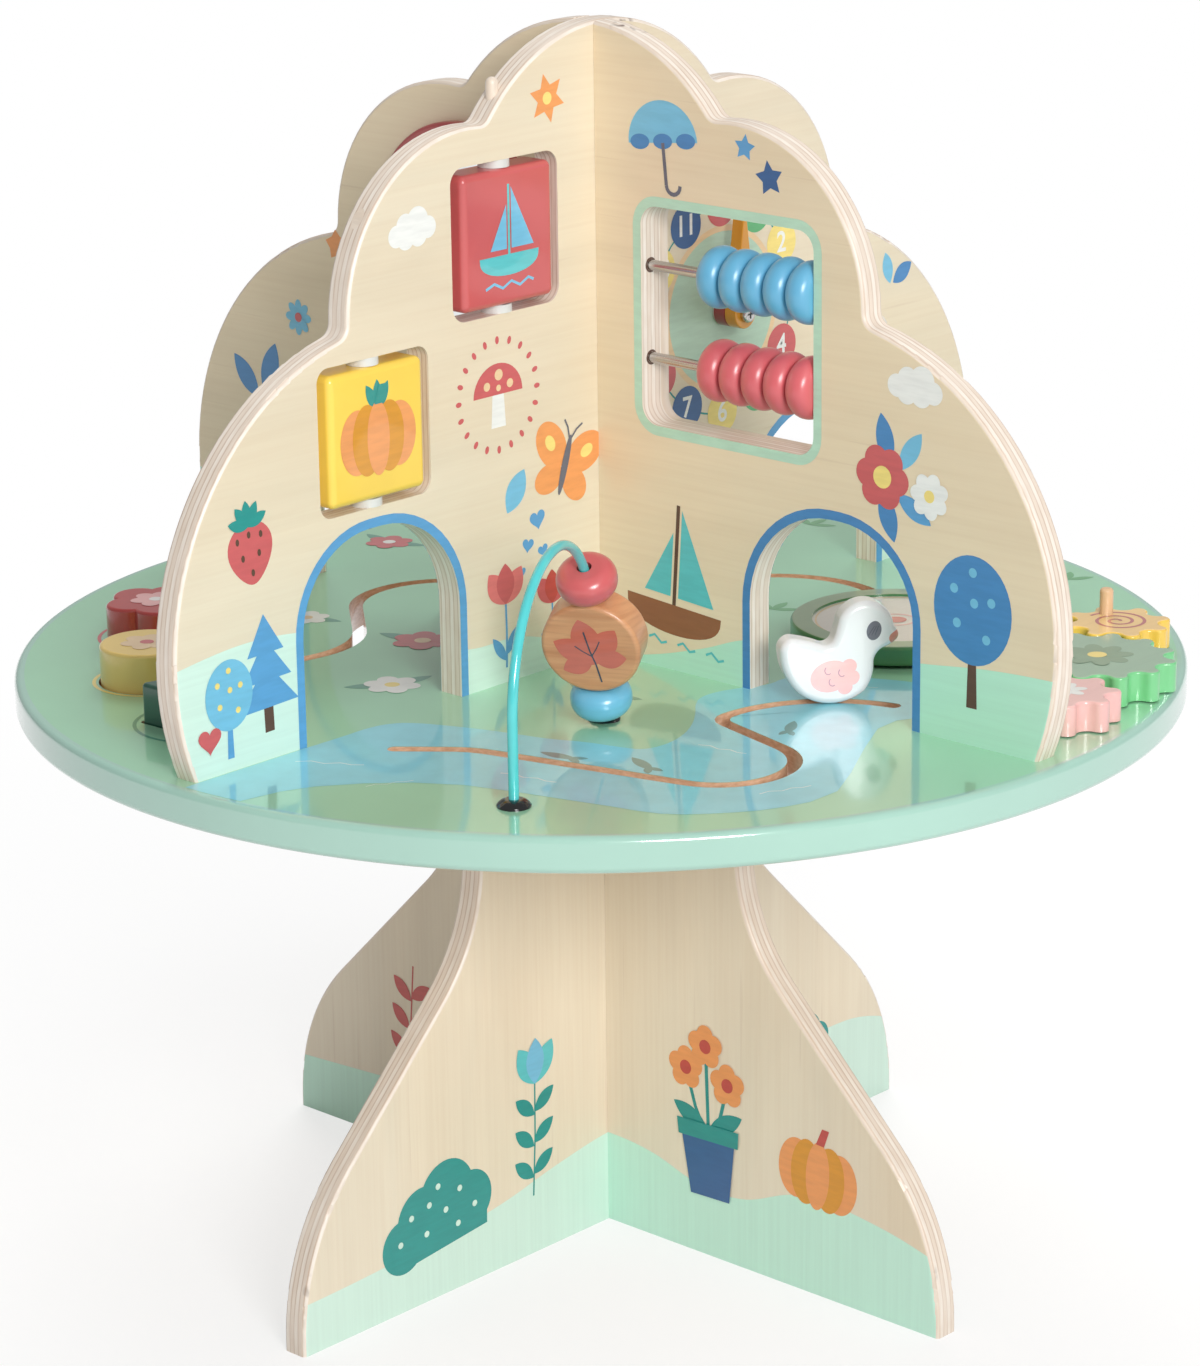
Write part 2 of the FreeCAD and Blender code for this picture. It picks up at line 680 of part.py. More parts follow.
def gear_parts():
    yellow, _, pink = gear_centres()
    large = LARGE_GEAR
    small = (SMALL_TEETH, SMALL_TIP, SMALL_ROOT)
    peg_foot = on_table(crank_peg_place(), GEAR_LIFT + GEAR_T - 4)
    peg = disc(CRANK_PEG_R, CRANK_PEG_HEIGHT + 4, peg_foot)
    top = [e for e in peg.Edges if abs(e.BoundBox.ZMin - peg.BoundBox.ZMax) < 1e-6]
    pins = []
    for centre in gear_centres():
        pin = disc(GEAR_PIN_R, TABLE_T - 4 + GEAR_LIFT + GEAR_PIN_DEPTH - 0.5,
                   on_table(centre, -(TABLE_T - 4)))
        pins.append(fuse([pin, disc(6.0, GEAR_LIFT - 0.1, on_table(centre))]))
    return {
        "gear_yellow": gear(*small, yellow, small_gear_phase(YELLOW_BEARING)).cut(peg),
        "gear_pink": gear(*small, pink, small_gear_phase(PINK_BEARING)),
        "gear_green": gear(large["teeth"], large["tip"], large["root"], large["centre"], large["phase"]),
        "gear_crank_peg": peg.makeFillet(1.4, top),
        "gear_pins": Part.makeCompound(pins),
    }


# Turning disc
def spinner_parts():
    base = on_table(SPINNER_CENTRE, SPINNER_LIFT)
    body = disc(SPINNER_R, SPINNER_T, base)
    rims = [e for e in body.Edges if len(e.Vertexes) == 1]
    body = body.makeFillet(1.5, rims)
    dish_z = SPINNER_T - SPINNER_DISH_DEPTH
    body = body.cut([disc(SPINNER_DISH_R, SPINNER_T, base + V(0, 0, dish_z)),
                     disc(3 + FIT, dish_z - 1.5, base)])
    inlay = disc(SPINNER_DISH_R, 1.0, base + V(0, 0, dish_z))
    shaft = disc(3.0, TABLE_T - 4 + SPINNER_LIFT + dish_z - 2, on_table(SPINNER_CENTRE, 4 - TABLE_T))
    pivot = fuse([shaft, disc(9.0, SPINNER_LIFT - 0.1, on_table(SPINNER_CENTRE))])
    return {"spinner_disc": body, "spinner_inlay": inlay, "spinner_pivot": pivot}


# Figures that run in the slots
def figure_solid(pieces, heading, xy):
    """Cuts a figure from board: pieces are (start, through, end) arcs or (start, end) lines."""
    edges = []
    for points in pieces:
        placed = [V(p[0], p[1], 0) for p in points]
        edges.append(line(*placed) if len(placed) == 2 else arc(*placed))
    solid = prism(softened(edges, FIGURE_CORNER_R), V(0, 0, FIGURE_T))
    solid = solid.makeFillet(FIGURE_ROUND, [e for e in solid.Edges if e.BoundBox.ZLength < 1e-6])
    solid.translate(V(0, 0, -FIGURE_T / 2))
    upright = FreeCAD.Placement(V(0, 0, 0), FreeCAD.Rotation(V(1, 0, 0), 90))
    facing = FreeCAD.Placement(on_table(xy, FIGURE_LIFT), FreeCAD.Rotation(UP, heading))
    solid.Placement = facing.multiply(upright).multiply(solid.Placement)
    return solid


BIRD_OUTLINE = [
    ((-15.5, 5.0), (-1.0, -0.3), (12.3, 4.3)),
    ((12.3, 4.3), (15.4, 10.4), (16.1, 16.4)),
    ((16.1, 16.4), (17.3, 19.9), (20.4, 22.4)),
    ((20.4, 22.4), (24.6, 24.5), (27.6, 27.8)),
    ((27.6, 27.8), (25.2, 30.6), (24.0, 34.0)),
    ((24.0, 34.0), (13.8, 42.5), (1.7, 35.8)),
    ((1.7, 35.8), (0.7, 31.6), (-0.6, 27.6)),
    ((-0.6, 27.6), (-2.4, 25.3), (-5.6, 24.9)),
    ((-5.6, 24.9), (-12.0, 27.2), (-18.5, 28.6)),
    ((-18.5, 28.6), (-21.7, 27.0), (-23.3, 23.8)),
    ((-23.3, 23.8), (-21.4, 13.9), (-15.5, 5.0)),
]

HEDGEHOG_OUTLINE = [
    ((-20.0, 3.0), (-17.0, 0.0), (-14.0, 0.0)),
    ((-14.0, 0.0), (14.0, 0.0)),
    ((14.0, 0.0), (20.0, 3.0), (24.5, 8.0)),
    ((24.5, 8.0), (25.6, 11.0), (22.6, 12.4)),
    ((22.6, 12.4), (18.5, 13.6), (15.4, 17.0)),
    ((15.4, 17.0), (-3.0, 30.0), (-20.0, 15.0)),
    ((-20.0, 15.0), (-21.5, 9.0), (-20.0, 3.0)),
]


def figure_pin(xy):
    """Pin from the figure down through the slot to the glide."""
    foot = TABLE_UNDER - CLEAR - GLIDE_T
    return disc(FIGURE_PIN_R, TABLE_TOP + FIGURE_LIFT + FIGURE_PIN_DEPTH - foot, V(xy[0], xy[1], foot))


def figure_bore(xy):
    """Blind hole up into the figure, in which it turns freely on its pin."""
    depth = FIGURE_LIFT + FIGURE_PIN_DEPTH + CLEAR
    return disc(FIGURE_PIN_R + CLEAR, depth, V(xy[0], xy[1], TABLE_TOP))


def glide(xy):
    """Disc under the tabletop that keeps the figure in its slot."""
    foot = V(xy[0], xy[1], TABLE_UNDER - CLEAR - GLIDE_T)
    plate = disc(GLIDE_R, GLIDE_T, foot)
    plate = plate.makeFillet(0.8, [e for e in plate.Edges if len(e.Vertexes) == 1])
    return plate.cut(disc(FIGURE_PIN_R + FIT, GLIDE_T, foot))


def bird_place():
    on_arc = V(BIRD_ARC["centre"][0], BIRD_ARC["centre"][1], 0) + polar(BIRD_ARC["radius"], BIRD_BEARING)
    return (on_arc.x, on_arc.y)


def figure_parts():
    parts = {}
    figures = (("bird", BIRD_OUTLINE, BIRD_HEADING, bird_place()),
               ("hedgehog", HEDGEHOG_OUTLINE, HEDGEHOG_HEADING, HEDGEHOG_PLACE))
    for name, outline, heading, xy in figures:
        parts[name + "_figure"] = figure_solid(outline, heading, xy).cut(figure_bore(xy))
        parts[name + "_pin"] = figure_pin(xy)
        parts[name + "_glide"] = glide(xy)
    return parts


# Bead wire
class WireArch:
    """Centre line of the bead wire in the upright plane through its two feet."""

    def __init__(self):
        self.start = V(WIRE_FRONT[0], WIRE_FRONT[1], 0)
        end = V(WIRE_BACK[0], WIRE_BACK[1], 0)
        self.along = (end - self.start).normalize()
        self.span = (end - self.start).Length
        self.apex_s = WIRE_FRONT_ARCH_R
        self.back_centre_z = WIRE_APEX_Z - WIRE_BACK_ARCH_R
        lean = math.radians(WIRE_LEAN)
        self.leg_top_s = self.apex_s + WIRE_BACK_ARCH_R * math.cos(lean)
        self.leg_top_z = self.back_centre_z + WIRE_BACK_ARCH_R * math.sin(lean)
        self.leg_up = self.at(-math.sin(lean), math.cos(lean)) - self.at(0, 0)
        self.foot = self.at(self.leg_top_s, self.leg_top_z) - self.leg_up * (
            (self.leg_top_z - TABLE_TOP) / math.cos(lean))

    def at(self, s, z):
        return self.start + self.along * s + V(0, 0, z)

    def on_leg(self, distance):
        return self.foot + self.leg_up * distance

    def on_back_arch(self, degrees):
        """Place and direction on the back arch, measured up from the top of the leaning leg."""
        angle = math.radians(WIRE_LEAN + degrees)
        centre = (self.apex_s, self.back_centre_z)
        place = self.at(centre[0] + WIRE_BACK_ARCH_R * math.cos(angle),
                        centre[1] + WIRE_BACK_ARCH_R * math.sin(angle))
        direction = self.at(-math.sin(angle), math.cos(angle)) - self.at(0, 0)
        return place, direction

    def solid(self):
        arch_z = WIRE_APEX_Z - WIRE_FRONT_ARCH_R
        slant = math.sqrt(0.5)
        shoulder = self.at(self.apex_s * (1 - slant), arch_z + WIRE_FRONT_ARCH_R * slant)
        apex = self.at(self.apex_s, WIRE_APEX_Z)
        mid_back = self.on_back_arch((90 - WIRE_LEAN) / 2)[0]
        leg_top = self.at(self.leg_top_s, self.leg_top_z)
        front_low = self.at(0, TABLE_TOP - WIRE_SEAT)
        edges = [
            line(front_low, self.at(0, arch_z)),
            arc(self.at(0, arch_z), shoulder, apex),
            arc(apex, mid_back, leg_top),
            line(leg_top, self.on_leg(-WIRE_SEAT)),
        ]
        profile = Part.Wire([Part.makeCircle(WIRE_R, front_low, UP)])
        return Part.Wire(edges).makePipeShell([profile], True, False)


WIRE = WireArch()


def collar(at, axis):
    """Black collar pressed on the wire's foot: a low turned dome with a stem in the tabletop."""
    edges = [
        line(V(WIRE_R, 0, -6.0), V(3.6, 0, -6.0)),
        line(V(3.6, 0, -6.0), V(3.6, 0, 0)),
        line(V(3.6, 0, 0), V(COLLAR_R, 0, 0)),
        line(V(COLLAR_R, 0, 0), V(COLLAR_R, 0, 0.6)),
        arc(V(COLLAR_R, 0, 0.6), V(COLLAR_R - 1.6, 0, COLLAR_T - 0.7), V(3.2, 0, COLLAR_T)),
        line(V(3.2, 0, COLLAR_T), V(WIRE_R, 0, COLLAR_T)),
        line(V(WIRE_R, 0, COLLAR_T), V(WIRE_R, 0, -6.0)),
    ]
    body = Part.Face(Part.Wire(edges)).revolve(V(0, 0, 0), UP, 360)
    return turned(body, at, axis)


def collar_cut(at, axis):
    """Room in the tabletop for the wire's end and the collar's stem."""
    stem = disc(3.6, 8.0, V(0, 0, -6.0))
    return turned(fuse([stem, disc(WIRE_R, 20, V(0, 0, -WIRE_SEAT))]), at, axis)


def wire_parts():
    front_foot = V(WIRE_FRONT[0], WIRE_FRONT[1], TABLE_TOP)
    hole_r = WIRE_R + 0.95
    blue = bead(12.6, 13.6, hole_r, 0.5)
    coral = bead(12.4, 13.6, hole_r, 0.5)
    stack = COLLAR_T + CLEAR + COLLAR_R * math.sin(math.radians(WIRE_LEAN)) * 0.4
    blue_at = stack + 6.8
    disc_at = blue_at + 6.8 + CLEAR + WOOD_DISC_R
    leg_length = (WIRE.leg_top_z - TABLE_TOP) / math.cos(math.radians(WIRE_LEAN))
    coral_run = disc_at + WOOD_DISC_R + 1.8 + 6.8 - leg_length
    coral_place, coral_way = WIRE.on_back_arch(math.degrees(coral_run / WIRE_BACK_ARCH_R))
    wheel = Part.makeCylinder(WOOD_DISC_R, WOOD_DISC_T, V(0, 0, -WOOD_DISC_T / 2))
    wheel = wheel.makeFillet(2.0, [e for e in wheel.Edges if len(e.Vertexes) == 1])
    facing = wood_disc_facing()
    wheel.Placement = FreeCAD.Placement(WIRE.on_leg(disc_at), FreeCAD.Rotation(UP, facing))
    bore = disc(hole_r, 60, WIRE.on_leg(disc_at) - WIRE.leg_up * 30, WIRE.leg_up)
    return {
        "bead_wire": WIRE.solid(),
        "wire_collar_front": collar(front_foot, UP),
        "wire_collar_back": collar(WIRE.foot, WIRE.leg_up).cut(below_table_top()),
        "wire_bead_blue": turned(blue, WIRE.on_leg(blue_at), WIRE.leg_up),
        "wire_wood_disc": wheel.cut(bore),
        "wire_bead_coral": turned(coral, coral_place, coral_way),
    }


def wood_disc_facing():
    """The wooden disc's flat face looks out over the front quarter, square to the leaning leg."""
    outward = polar(1, -62.0)
    return (outward - WIRE.leg_up * outward.dot(WIRE.leg_up)).normalize()


def below_table_top():
    """Slab just under the tabletop's face around the leaning foot, less the collar's own bore."""
    slab = disc(12.0, 2.2, WIRE.foot - V(0, 0, 2.2))
    return slab.cut(collar_cut(WIRE.foot, WIRE.leg_up))


# Shape blocks
def flower_edges(radius, petals, hollow_share):
    """Round petals joined by small hollows, about the origin."""
    petal_centre = radius * 0.55
    petal_r = radius - petal_centre
    step = 360.0 / petals
    edges = []
    for i in range(petals):
        middle = polar(petal_centre, i * step)
        meet = polar(radius * hollow_share, (i + 0.5) * step)
        before = polar(radius * hollow_share, (i - 0.5) * step)
        edges.append(arc(before, middle + polar(petal_r, i * step), meet))
    return edges


def star_edges(radius):
    """Five-pointed star with soft straight sides, about the origin."""
    points = []
    for i in range(10):
        reach = radius if i % 2 == 0 else radius * 0.62
        points.append(polar(reach, 36.0 * i))
    return softened(Part.makePolygon(points + [points[0]]).Edges, STAR_CORNER_R)


def shape_outline(colour, gap):
    if colour == "yellow":
        return [Part.makeCircle(SHAPE_R + gap, V(0, 0, 0), UP)]
    if colour == "red":
        return flower_edges(SHAPE_R + 2.5 + gap, 5, 0.79)
    return star_edges(SHAPE_R + 4.5 + gap * 1.5)


def shape_at(colour, height):
    reach, bearing = SHAPE_PLACES[colour]
    centre = polar(reach, bearing)
    return FreeCAD.Placement(on_table((centre.x, centre.y), height), FreeCAD.Rotation(UP, bearing + 180))


def shape_socket(colour):
    solid = prism(shape_outline(colour, SOCKET_GAP), V(0, 0, SOCKET_DEPTH + EPS))
    solid.Placement = shape_at(colour, -SOCKET_DEPTH)
    return solid


def shape_block(colour):
    height = SOCKET_DEPTH + SHAPE_PROUD
    solid = prism(shape_outline(colour, 0.0), V(0, 0, height))
    rim = [e for e in solid.Edges if abs(e.BoundBox.ZMin - height) < 1e-6]
    solid = solid.makeFillet(1.5, rim)
    solid.Placement = shape_at(colour, -SOCKET_DEPTH)
    return solid


# Fasteners
def spots(plane, reach):
    return [plane.point(side * reach, 0) for side in (-1, 1)]


def dowel(at, low, high, radius=DOWEL_R):
    return disc(radius, high - low, V(at.x, at.y, low))


def dowel_holes(plane):
    return [dowel(p, TABLE_TOP - EPS, TABLE_TOP + DOWEL_DEPTH) for p in spots(plane, DOWEL_S)]


def countersunk(at, face_z, way):
    """Wood screw with its flat head flush in the tabletop's face; way is +1 up or -1 down."""
    axis = V(0, 0, way)
    head_at = V(at.x, at.y, face_z)
    head = Part.makeCone(SCREW_HEAD_R, SCREW_R, SCREW_HEAD_T, head_at, axis)
    shank = disc(SCREW_R, TABLE_T + SCREW_DEPTH - 4, head_at, axis)
    tip = Part.makeCone(SCREW_R, 0.4, 4, head_at + axis * (TABLE_T + SCREW_DEPTH - 4), axis)
    return fuse([head, shank, tip])


def leg_screw_holes(plane):
    return [countersunk(p, TABLE_TOP, -1) for p in spots(plane, LEG_SCREW_S)]


def wing_screw_holes(plane):
    return [countersunk(p, TABLE_UNDER, 1) for p in spots(plane, WING_SCREW_S)]


def fastener_parts():
    planes = (PANEL_A, PANEL_B)
    dowels = [dowel(p, TABLE_TOP - 10, TABLE_TOP + DOWEL_DEPTH) for plane in planes
              for p in spots(plane, DOWEL_S)]
    return {
        "locating_dowels": Part.makeCompound(dowels),
        "leg_screws": Part.makeCompound([s for plane in planes for s in leg_screw_holes(plane)]),
        "wing_screws": Part.makeCompound([s for plane in planes for s in wing_screw_holes(plane)]),
    }


# Tabletop
def tabletop():
    top = disc(TABLE_R, TABLE_T, V(0, 0, TABLE_UNDER))
    top = top.makeFillet(3.0, [e for e in top.Edges if len(e.Vertexes) == 1])
    bird_arc = BIRD_ARC
    centre = V(bird_arc["centre"][0], bird_arc["centre"][1], 0)
    ends = [centre + polar(bird_arc["radius"], bird_arc[key]) for key in ("start", "end")]
    sweep = arc(ends[0], mid_of_arc(centre, *ends), ends[1])
    cuts = [slot_tool(rounded_path(BIRD_SLOT) + [sweep]), slot_tool(rounded_path(HEDGEHOG_SLOT))]
    cuts += [shape_socket(colour) for colour in SHAPE_PLACES]
    cuts.append(collar_cut(V(WIRE_FRONT[0], WIRE_FRONT[1], TABLE_TOP), UP))
    cuts.append(collar_cut(WIRE.foot, WIRE.leg_up))
    for centre_xy in gear_centres():
        cuts.append(disc(GEAR_PIN_R, TABLE_T, on_table(centre_xy, 4 - TABLE_T)))
    cuts.append(disc(3.0, TABLE_T, on_table(SPINNER_CENTRE, 4 - TABLE_T)))
    for plane in (PANEL_A, PANEL_B):
        cuts += [dowel(p, TABLE_TOP - 10, TABLE_TOP + EPS) for p in spots(plane, DOWEL_S)]
        cuts += leg_screw_holes(plane) + wing_screw_holes(plane)
    return top.cut(cuts)


def all_parts():
    parts = {
        "tabletop": tabletop(),
        "upper_panel_b": upper_panel_b(),
        "lower_panel_a": lower_panel(PANEL_A, -EPS, LOWER_LAP_Z),
        "lower_panel_b": lower_panel(PANEL_B, LOWER_LAP_Z, TABLE_UNDER + EPS),
        "abacus_frame": abacus_frame(),
        "abacus_rod_upper": rod_shape(ROD_HEIGHTS["upper"], ROD_SEAT),
        "abacus_rod_lower": rod_shape(ROD_HEIGHTS["lower"], ROD_SEAT),
    }
    for colour, window in (("red", RED_WINDOW), ("yellow", YELLOW_WINDOW)):
        parts["turning_block_" + colour] = turning_block(window)
        parts["block_axle_" + colour] = block_axle(window)
        parts["block_washers_" + colour] = block_washers(window)
    for colour in SHAPE_PLACES:
        parts["shape_block_" + colour] = shape_block(colour)
    for group in (upper_panel_a_parts(), counting_beads(), clock_parts(), mirror_parts(), gear_parts(), spinner_parts(),
                  figure_parts(), wire_parts(), fastener_parts()):
        parts.update(group)
    return parts


os.makedirs("parts", exist_ok=True)
for name, shape in all_parts().items():
    shape.exportStep("parts/%s.step" % name)
    print("%-22s solids %d valid %s volume %.0f" % (name, len(shape.Solids), shape.isValid(), shape.Volume))
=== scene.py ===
import json
import math

import bmesh
import bpy
from mathutils import Matrix, Vector

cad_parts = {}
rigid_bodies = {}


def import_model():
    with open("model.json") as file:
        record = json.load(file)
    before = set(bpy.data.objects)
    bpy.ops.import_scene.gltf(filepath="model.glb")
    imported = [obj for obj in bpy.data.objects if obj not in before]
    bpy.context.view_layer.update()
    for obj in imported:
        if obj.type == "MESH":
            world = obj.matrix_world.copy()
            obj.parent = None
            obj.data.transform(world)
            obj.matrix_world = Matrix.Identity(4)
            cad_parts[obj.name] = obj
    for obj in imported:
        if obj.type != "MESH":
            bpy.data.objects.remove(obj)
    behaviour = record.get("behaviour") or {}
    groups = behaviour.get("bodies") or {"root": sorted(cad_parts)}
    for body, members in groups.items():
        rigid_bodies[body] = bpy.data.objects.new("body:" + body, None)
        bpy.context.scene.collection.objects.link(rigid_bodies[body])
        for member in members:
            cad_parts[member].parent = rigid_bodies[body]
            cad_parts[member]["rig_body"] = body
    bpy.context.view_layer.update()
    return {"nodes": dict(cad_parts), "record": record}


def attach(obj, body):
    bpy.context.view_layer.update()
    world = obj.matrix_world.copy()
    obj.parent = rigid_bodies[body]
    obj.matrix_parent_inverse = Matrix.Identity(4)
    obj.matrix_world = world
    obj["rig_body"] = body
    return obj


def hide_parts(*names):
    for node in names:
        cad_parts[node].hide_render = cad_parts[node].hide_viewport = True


# Looks of a wooden activity table: printed birch boards, lacquered round top, painted wooden toys.
# Drawings are in millimetres; meshes are in metres, in the frame of the loaded model.

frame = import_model()

MM = 0.001
NODE_SLOT = {part["node"]: part["material_slot"] for part in frame["record"]["subparts"]}


def on_circle(radius, degrees, middle=(0.0, 0.0)):
    """Point of a circle, at an angle counted anticlockwise from the right."""
    angle = math.radians(degrees)
    return (middle[0] + radius * math.cos(angle), middle[1] + radius * math.sin(angle))


def arc(radius, start, end, steps, middle=(0.0, 0.0)):
    """Points along a part of a circle, with both ends."""
    return [on_circle(radius, start + (end - start) * i / steps, middle) for i in range(steps + 1)]


# Sizes and places that the looks share, in millimetres and degrees
TABLE_TOP = 263.5
TABLE_UNDERSIDE = 248.5
FLAT_REACH = 247.0
RIM_ROUNDING = 2.9
RIM_STEPS = 8
RIM_PAINT_FROM = 245.6
PANEL_HALF = 6.0
PLY = 2.4
FIGURE_HALF = 6.0
BLOCK_HALF = 8.0
DISC_HALF = 8.0
BIRD_RUN_MIDDLE = (160.8, -38.4)
BIRD_RUN_RADIUS = 54.6
BIRD_RUN_START = 180.0
BIRD_RUN_END = 102.1
BIRD_REST = 129.0
BIRD_XY = on_circle(BIRD_RUN_RADIUS, BIRD_REST, BIRD_RUN_MIDDLE)
BIRD_TURN = 54.0
HEDGEHOG_XY = (-70.35, 80.5)
HEDGEHOG_TURN = 43.3


def paint(red, green, blue):
    """Colour as seen on a screen, 0 to 255, turned into the shader's linear colour."""
    channels = []
    for value in (red, green, blue):
        value /= 255
        channels.append(value / 12.92 if value <= 0.04045 else ((value + 0.055) / 1.055) ** 2.4)
    return (*channels, 1.0)


# Colours of the paints and inks
PAINTS = {name: paint(*screen) for name, screen in {
    # Painted light: birch, pale_birch and leg_birch are copies of one birch, and mint, pale_mint and leg_mint
    # are copies of one mint print, each made lighter, darker or cooler for its board to stand in for how the
    # light falls there.
    "birch": (237, 219, 188), "pale_birch": (232, 219, 194), "mint": (188, 236, 212),
    "pale_mint": (212, 239, 225), "leg_birch": (237, 225, 202), "leg_mint": (202, 243, 224),
    "rim_mint": (164, 206, 190), "window_mint": (186, 222, 198), "meadow": (158, 213, 177),
    "river": (140, 214, 228), "sky": (118, 190, 222), "blue": (70, 134, 190),
    "light_blue": (92, 160, 210), "deep_blue": (44, 92, 146), "teal": (30, 146, 140),
    "turquoise": (92, 196, 200), "coral": (206, 94, 96), "red": (196, 72, 64), "brick": (206, 104, 84),
    "orange": (240, 158, 92), "amber": (222, 150, 36), "yellow": (250, 208, 84),
    "pale_yellow": (246, 222, 130), "pink": (240, 178, 176), "pink_coral": (226, 118, 116),
    "white": (240, 240, 236), "brown": (150, 92, 58), "dark_brown": (92, 62, 46), "green": (96, 176, 118),
    "sage": (140, 164, 134), "slate": (104, 106, 118), "slate_line": (66, 70, 82),
    "mauve": (176, 112, 128), "plum": (190, 112, 112), "grey_mint": (184, 212, 190),
    "peach": (236, 204, 160), "lily": (102, 146, 142), "leaf_teal": (92, 156, 134),
    "leaf_green": (104, 172, 118),
}.items()}


# Materials
class Finish:
    """One material, built node by node on Object coordinates."""

    def __init__(self, name, roughness=0.4, coat=0.0, coat_roughness=0.08, metallic=0.0):
        self.material = bpy.data.materials.new(name)
        self.material.use_nodes = True
        self.tree = self.material.node_tree
        self.shader = self.tree.nodes["Principled BSDF"]
        for socket, value in (("Roughness", roughness), ("Metallic", metallic),
                              ("Coat Weight", coat), ("Coat Roughness", coat_roughness)):
            self.shader.inputs[socket].default_value = value
        self.place = self.node("TexCoord").outputs["Object"]
        self.axes = None

    def feed(self, socket, value):
        if isinstance(value, bpy.types.NodeSocket):
            self.tree.links.new(value, socket)
        else:
            socket.default_value = value

    def node(self, kind, **inputs):
        """New node of a kind, with its inputs set or linked by name."""
        node = self.tree.nodes.new("ShaderNode" + kind)
        for name, value in inputs.items():
            self.feed(node.inputs[name], value)
        return node

    def axis(self, letter):
        if self.axes is None:
            self.axes = self.node("SeparateXYZ", Vector=self.place)
        return self.axes.outputs[letter]

    def maths(self, operation, a, b=0.0):
        node = self.node("Math")
        node.operation = operation
        self.feed(node.inputs[0], a)
        self.feed(node.inputs[1], b)
        return node.outputs[0]

    def from_middle(self):
        """Distance from the upright line through the middle of the table."""
        squares = [self.maths("POWER", self.axis(letter), 2.0) for letter in "XY"]
        return self.maths("SQRT", self.maths("ADD", *squares))

    def mapped(self, scale=(1, 1, 1), turn=(0, 0, 0), shift=(0, 0, 0)):
        return self.node("Mapping", Vector=self.place, Location=shift, Rotation=turn, Scale=scale).outputs[0]

    def noise(self, scale, detail=2.0, distortion=0.0):
        """Cloudy pattern; the scale may be a number or one for each axis."""
        place = self.mapped(scale if isinstance(scale, tuple) else (scale, scale, scale))
        node = self.node("TexNoise", Vector=place, Scale=1.0, Detail=detail, Distortion=distortion)
        return node.outputs["Fac"]

    def between(self, value, low, high, bottom=0.0, top=1.0):
        node = self.node("MapRange")
        for socket, setting in zip(node.inputs[:5], (value, low, high, bottom, top)):
            self.feed(socket, setting)
        return node.outputs[0]

    def mottle(self, scale, detail=2.0, low=0.3, high=0.7, distortion=0.0):
        """Cloudy pattern that runs from 0 to 1 between two of its levels."""
        return self.between(self.noise(scale, detail, distortion), low, high)

    def blend(self, share, a, b, most=1.0):
        """Goes from colour a towards colour b as the share rises from 0 to 1."""
        if most < 1.0:
            share = self.maths("MULTIPLY", share, most)
        node = self.node("Mix", Factor=share)
        node.data_type = "RGBA"
        node.clamp_result = True
        self.feed(node.inputs[6], a)
        self.feed(node.inputs[7], b)
        return node.outputs[2]

    def varied(self, share, colour, low, high):
        """Goes from a darker to a lighter shade of one colour."""
        return self.blend(share, shade(colour, low), shade(colour, high))

    def height_line(self, value, low, high, heights):
        """Height at a place along a board, from a drawn line of (place, height) points."""
        node = self.node("FloatCurve", Value=self.between(value, low, high))
        curve = node.mapping.curves[0]
        points = [((place * MM - low) / (high - low), height * MM) for place, height in heights]
        for i, (x, y) in enumerate(points):
            point = curve.points[i] if i < 2 else curve.points.new(x, y)
            point.location = (x, y)
            point.handle_type = "AUTO"
        node.mapping.update()
        return node.outputs[0]

    def bump(self, scale, detail, strength, distance):
        """Cloudy relief in the surface."""
        node = self.node("Bump", Strength=strength, Distance=distance, Height=self.noise(scale, detail))
        self.feed(self.shader.inputs["Normal"], node.outputs[0])

    def coloured(self, colour):
        self.feed(self.shader.inputs["Base Color"], colour)
        return self.material


def shade(colour, factor):
    return (colour[0] * factor, colour[1] * factor, colour[2] * factor, 1.0)


def painted_wood(name, colour, roughness=0.28, coat=0.7, grain=60.0, coat_roughness=0.12):
    """Sprayed paint over wood: slight cloudiness and the faint orange peel of lacquer."""
    f = Finish(name, roughness, coat, coat_roughness)
    cloud = f.mottle(22.0, 3.0)
    tone = f.varied(cloud, colour, 0.93, 1.04)
    f.bump(grain, 2.0, 0.12, 0.0004)
    return f.coloured(tone)


INKS = {}


def ink(name, glossy):
    """Printed ink: flat colour that lets a little of the wood's grain through; made once for each look."""
    full_name = ("gloss_ink_" if glossy else "ink_") + name
    if full_name not in INKS:
        f = Finish(full_name, *((0.3, 1.0, 0.05) if glossy else (0.42, 0.35, 0.25)))
        streak = f.mottle((90.0, 90.0, 500.0), 2.0, 0.35, 0.65)
        INKS[full_name] = f.coloured(f.varied(streak, PAINTS[name], 0.95, 1.03))
    return INKS[full_name]


def birch_face(f, base, grain, figure):
    """Pale rotary-cut birch: cloudy tone, broad soft figure, fine lines and a few brown flecks."""
    cloud = f.mottle(figure, 3.0, 0.32, 0.68, 0.6)
    tone = f.varied(cloud, base, 0.95, 1.03)
    warm = f.mottle(tuple(v * 0.3 for v in figure), 2.0, 0.48, 0.75, 0.3)
    tone = f.blend(warm, tone, paint(226, 190, 140), 0.22)
    lines = f.mottle(grain, 4.0, 0.38, 0.72)
    tone = f.blend(lines, tone, paint(190, 150, 106), 0.09)
    fleck = f.mottle(tuple(v * 0.9 for v in grain), 0.0, 0.80, 0.84)
    return f.blend(fleck, tone, PAINTS["brown"], 0.08)


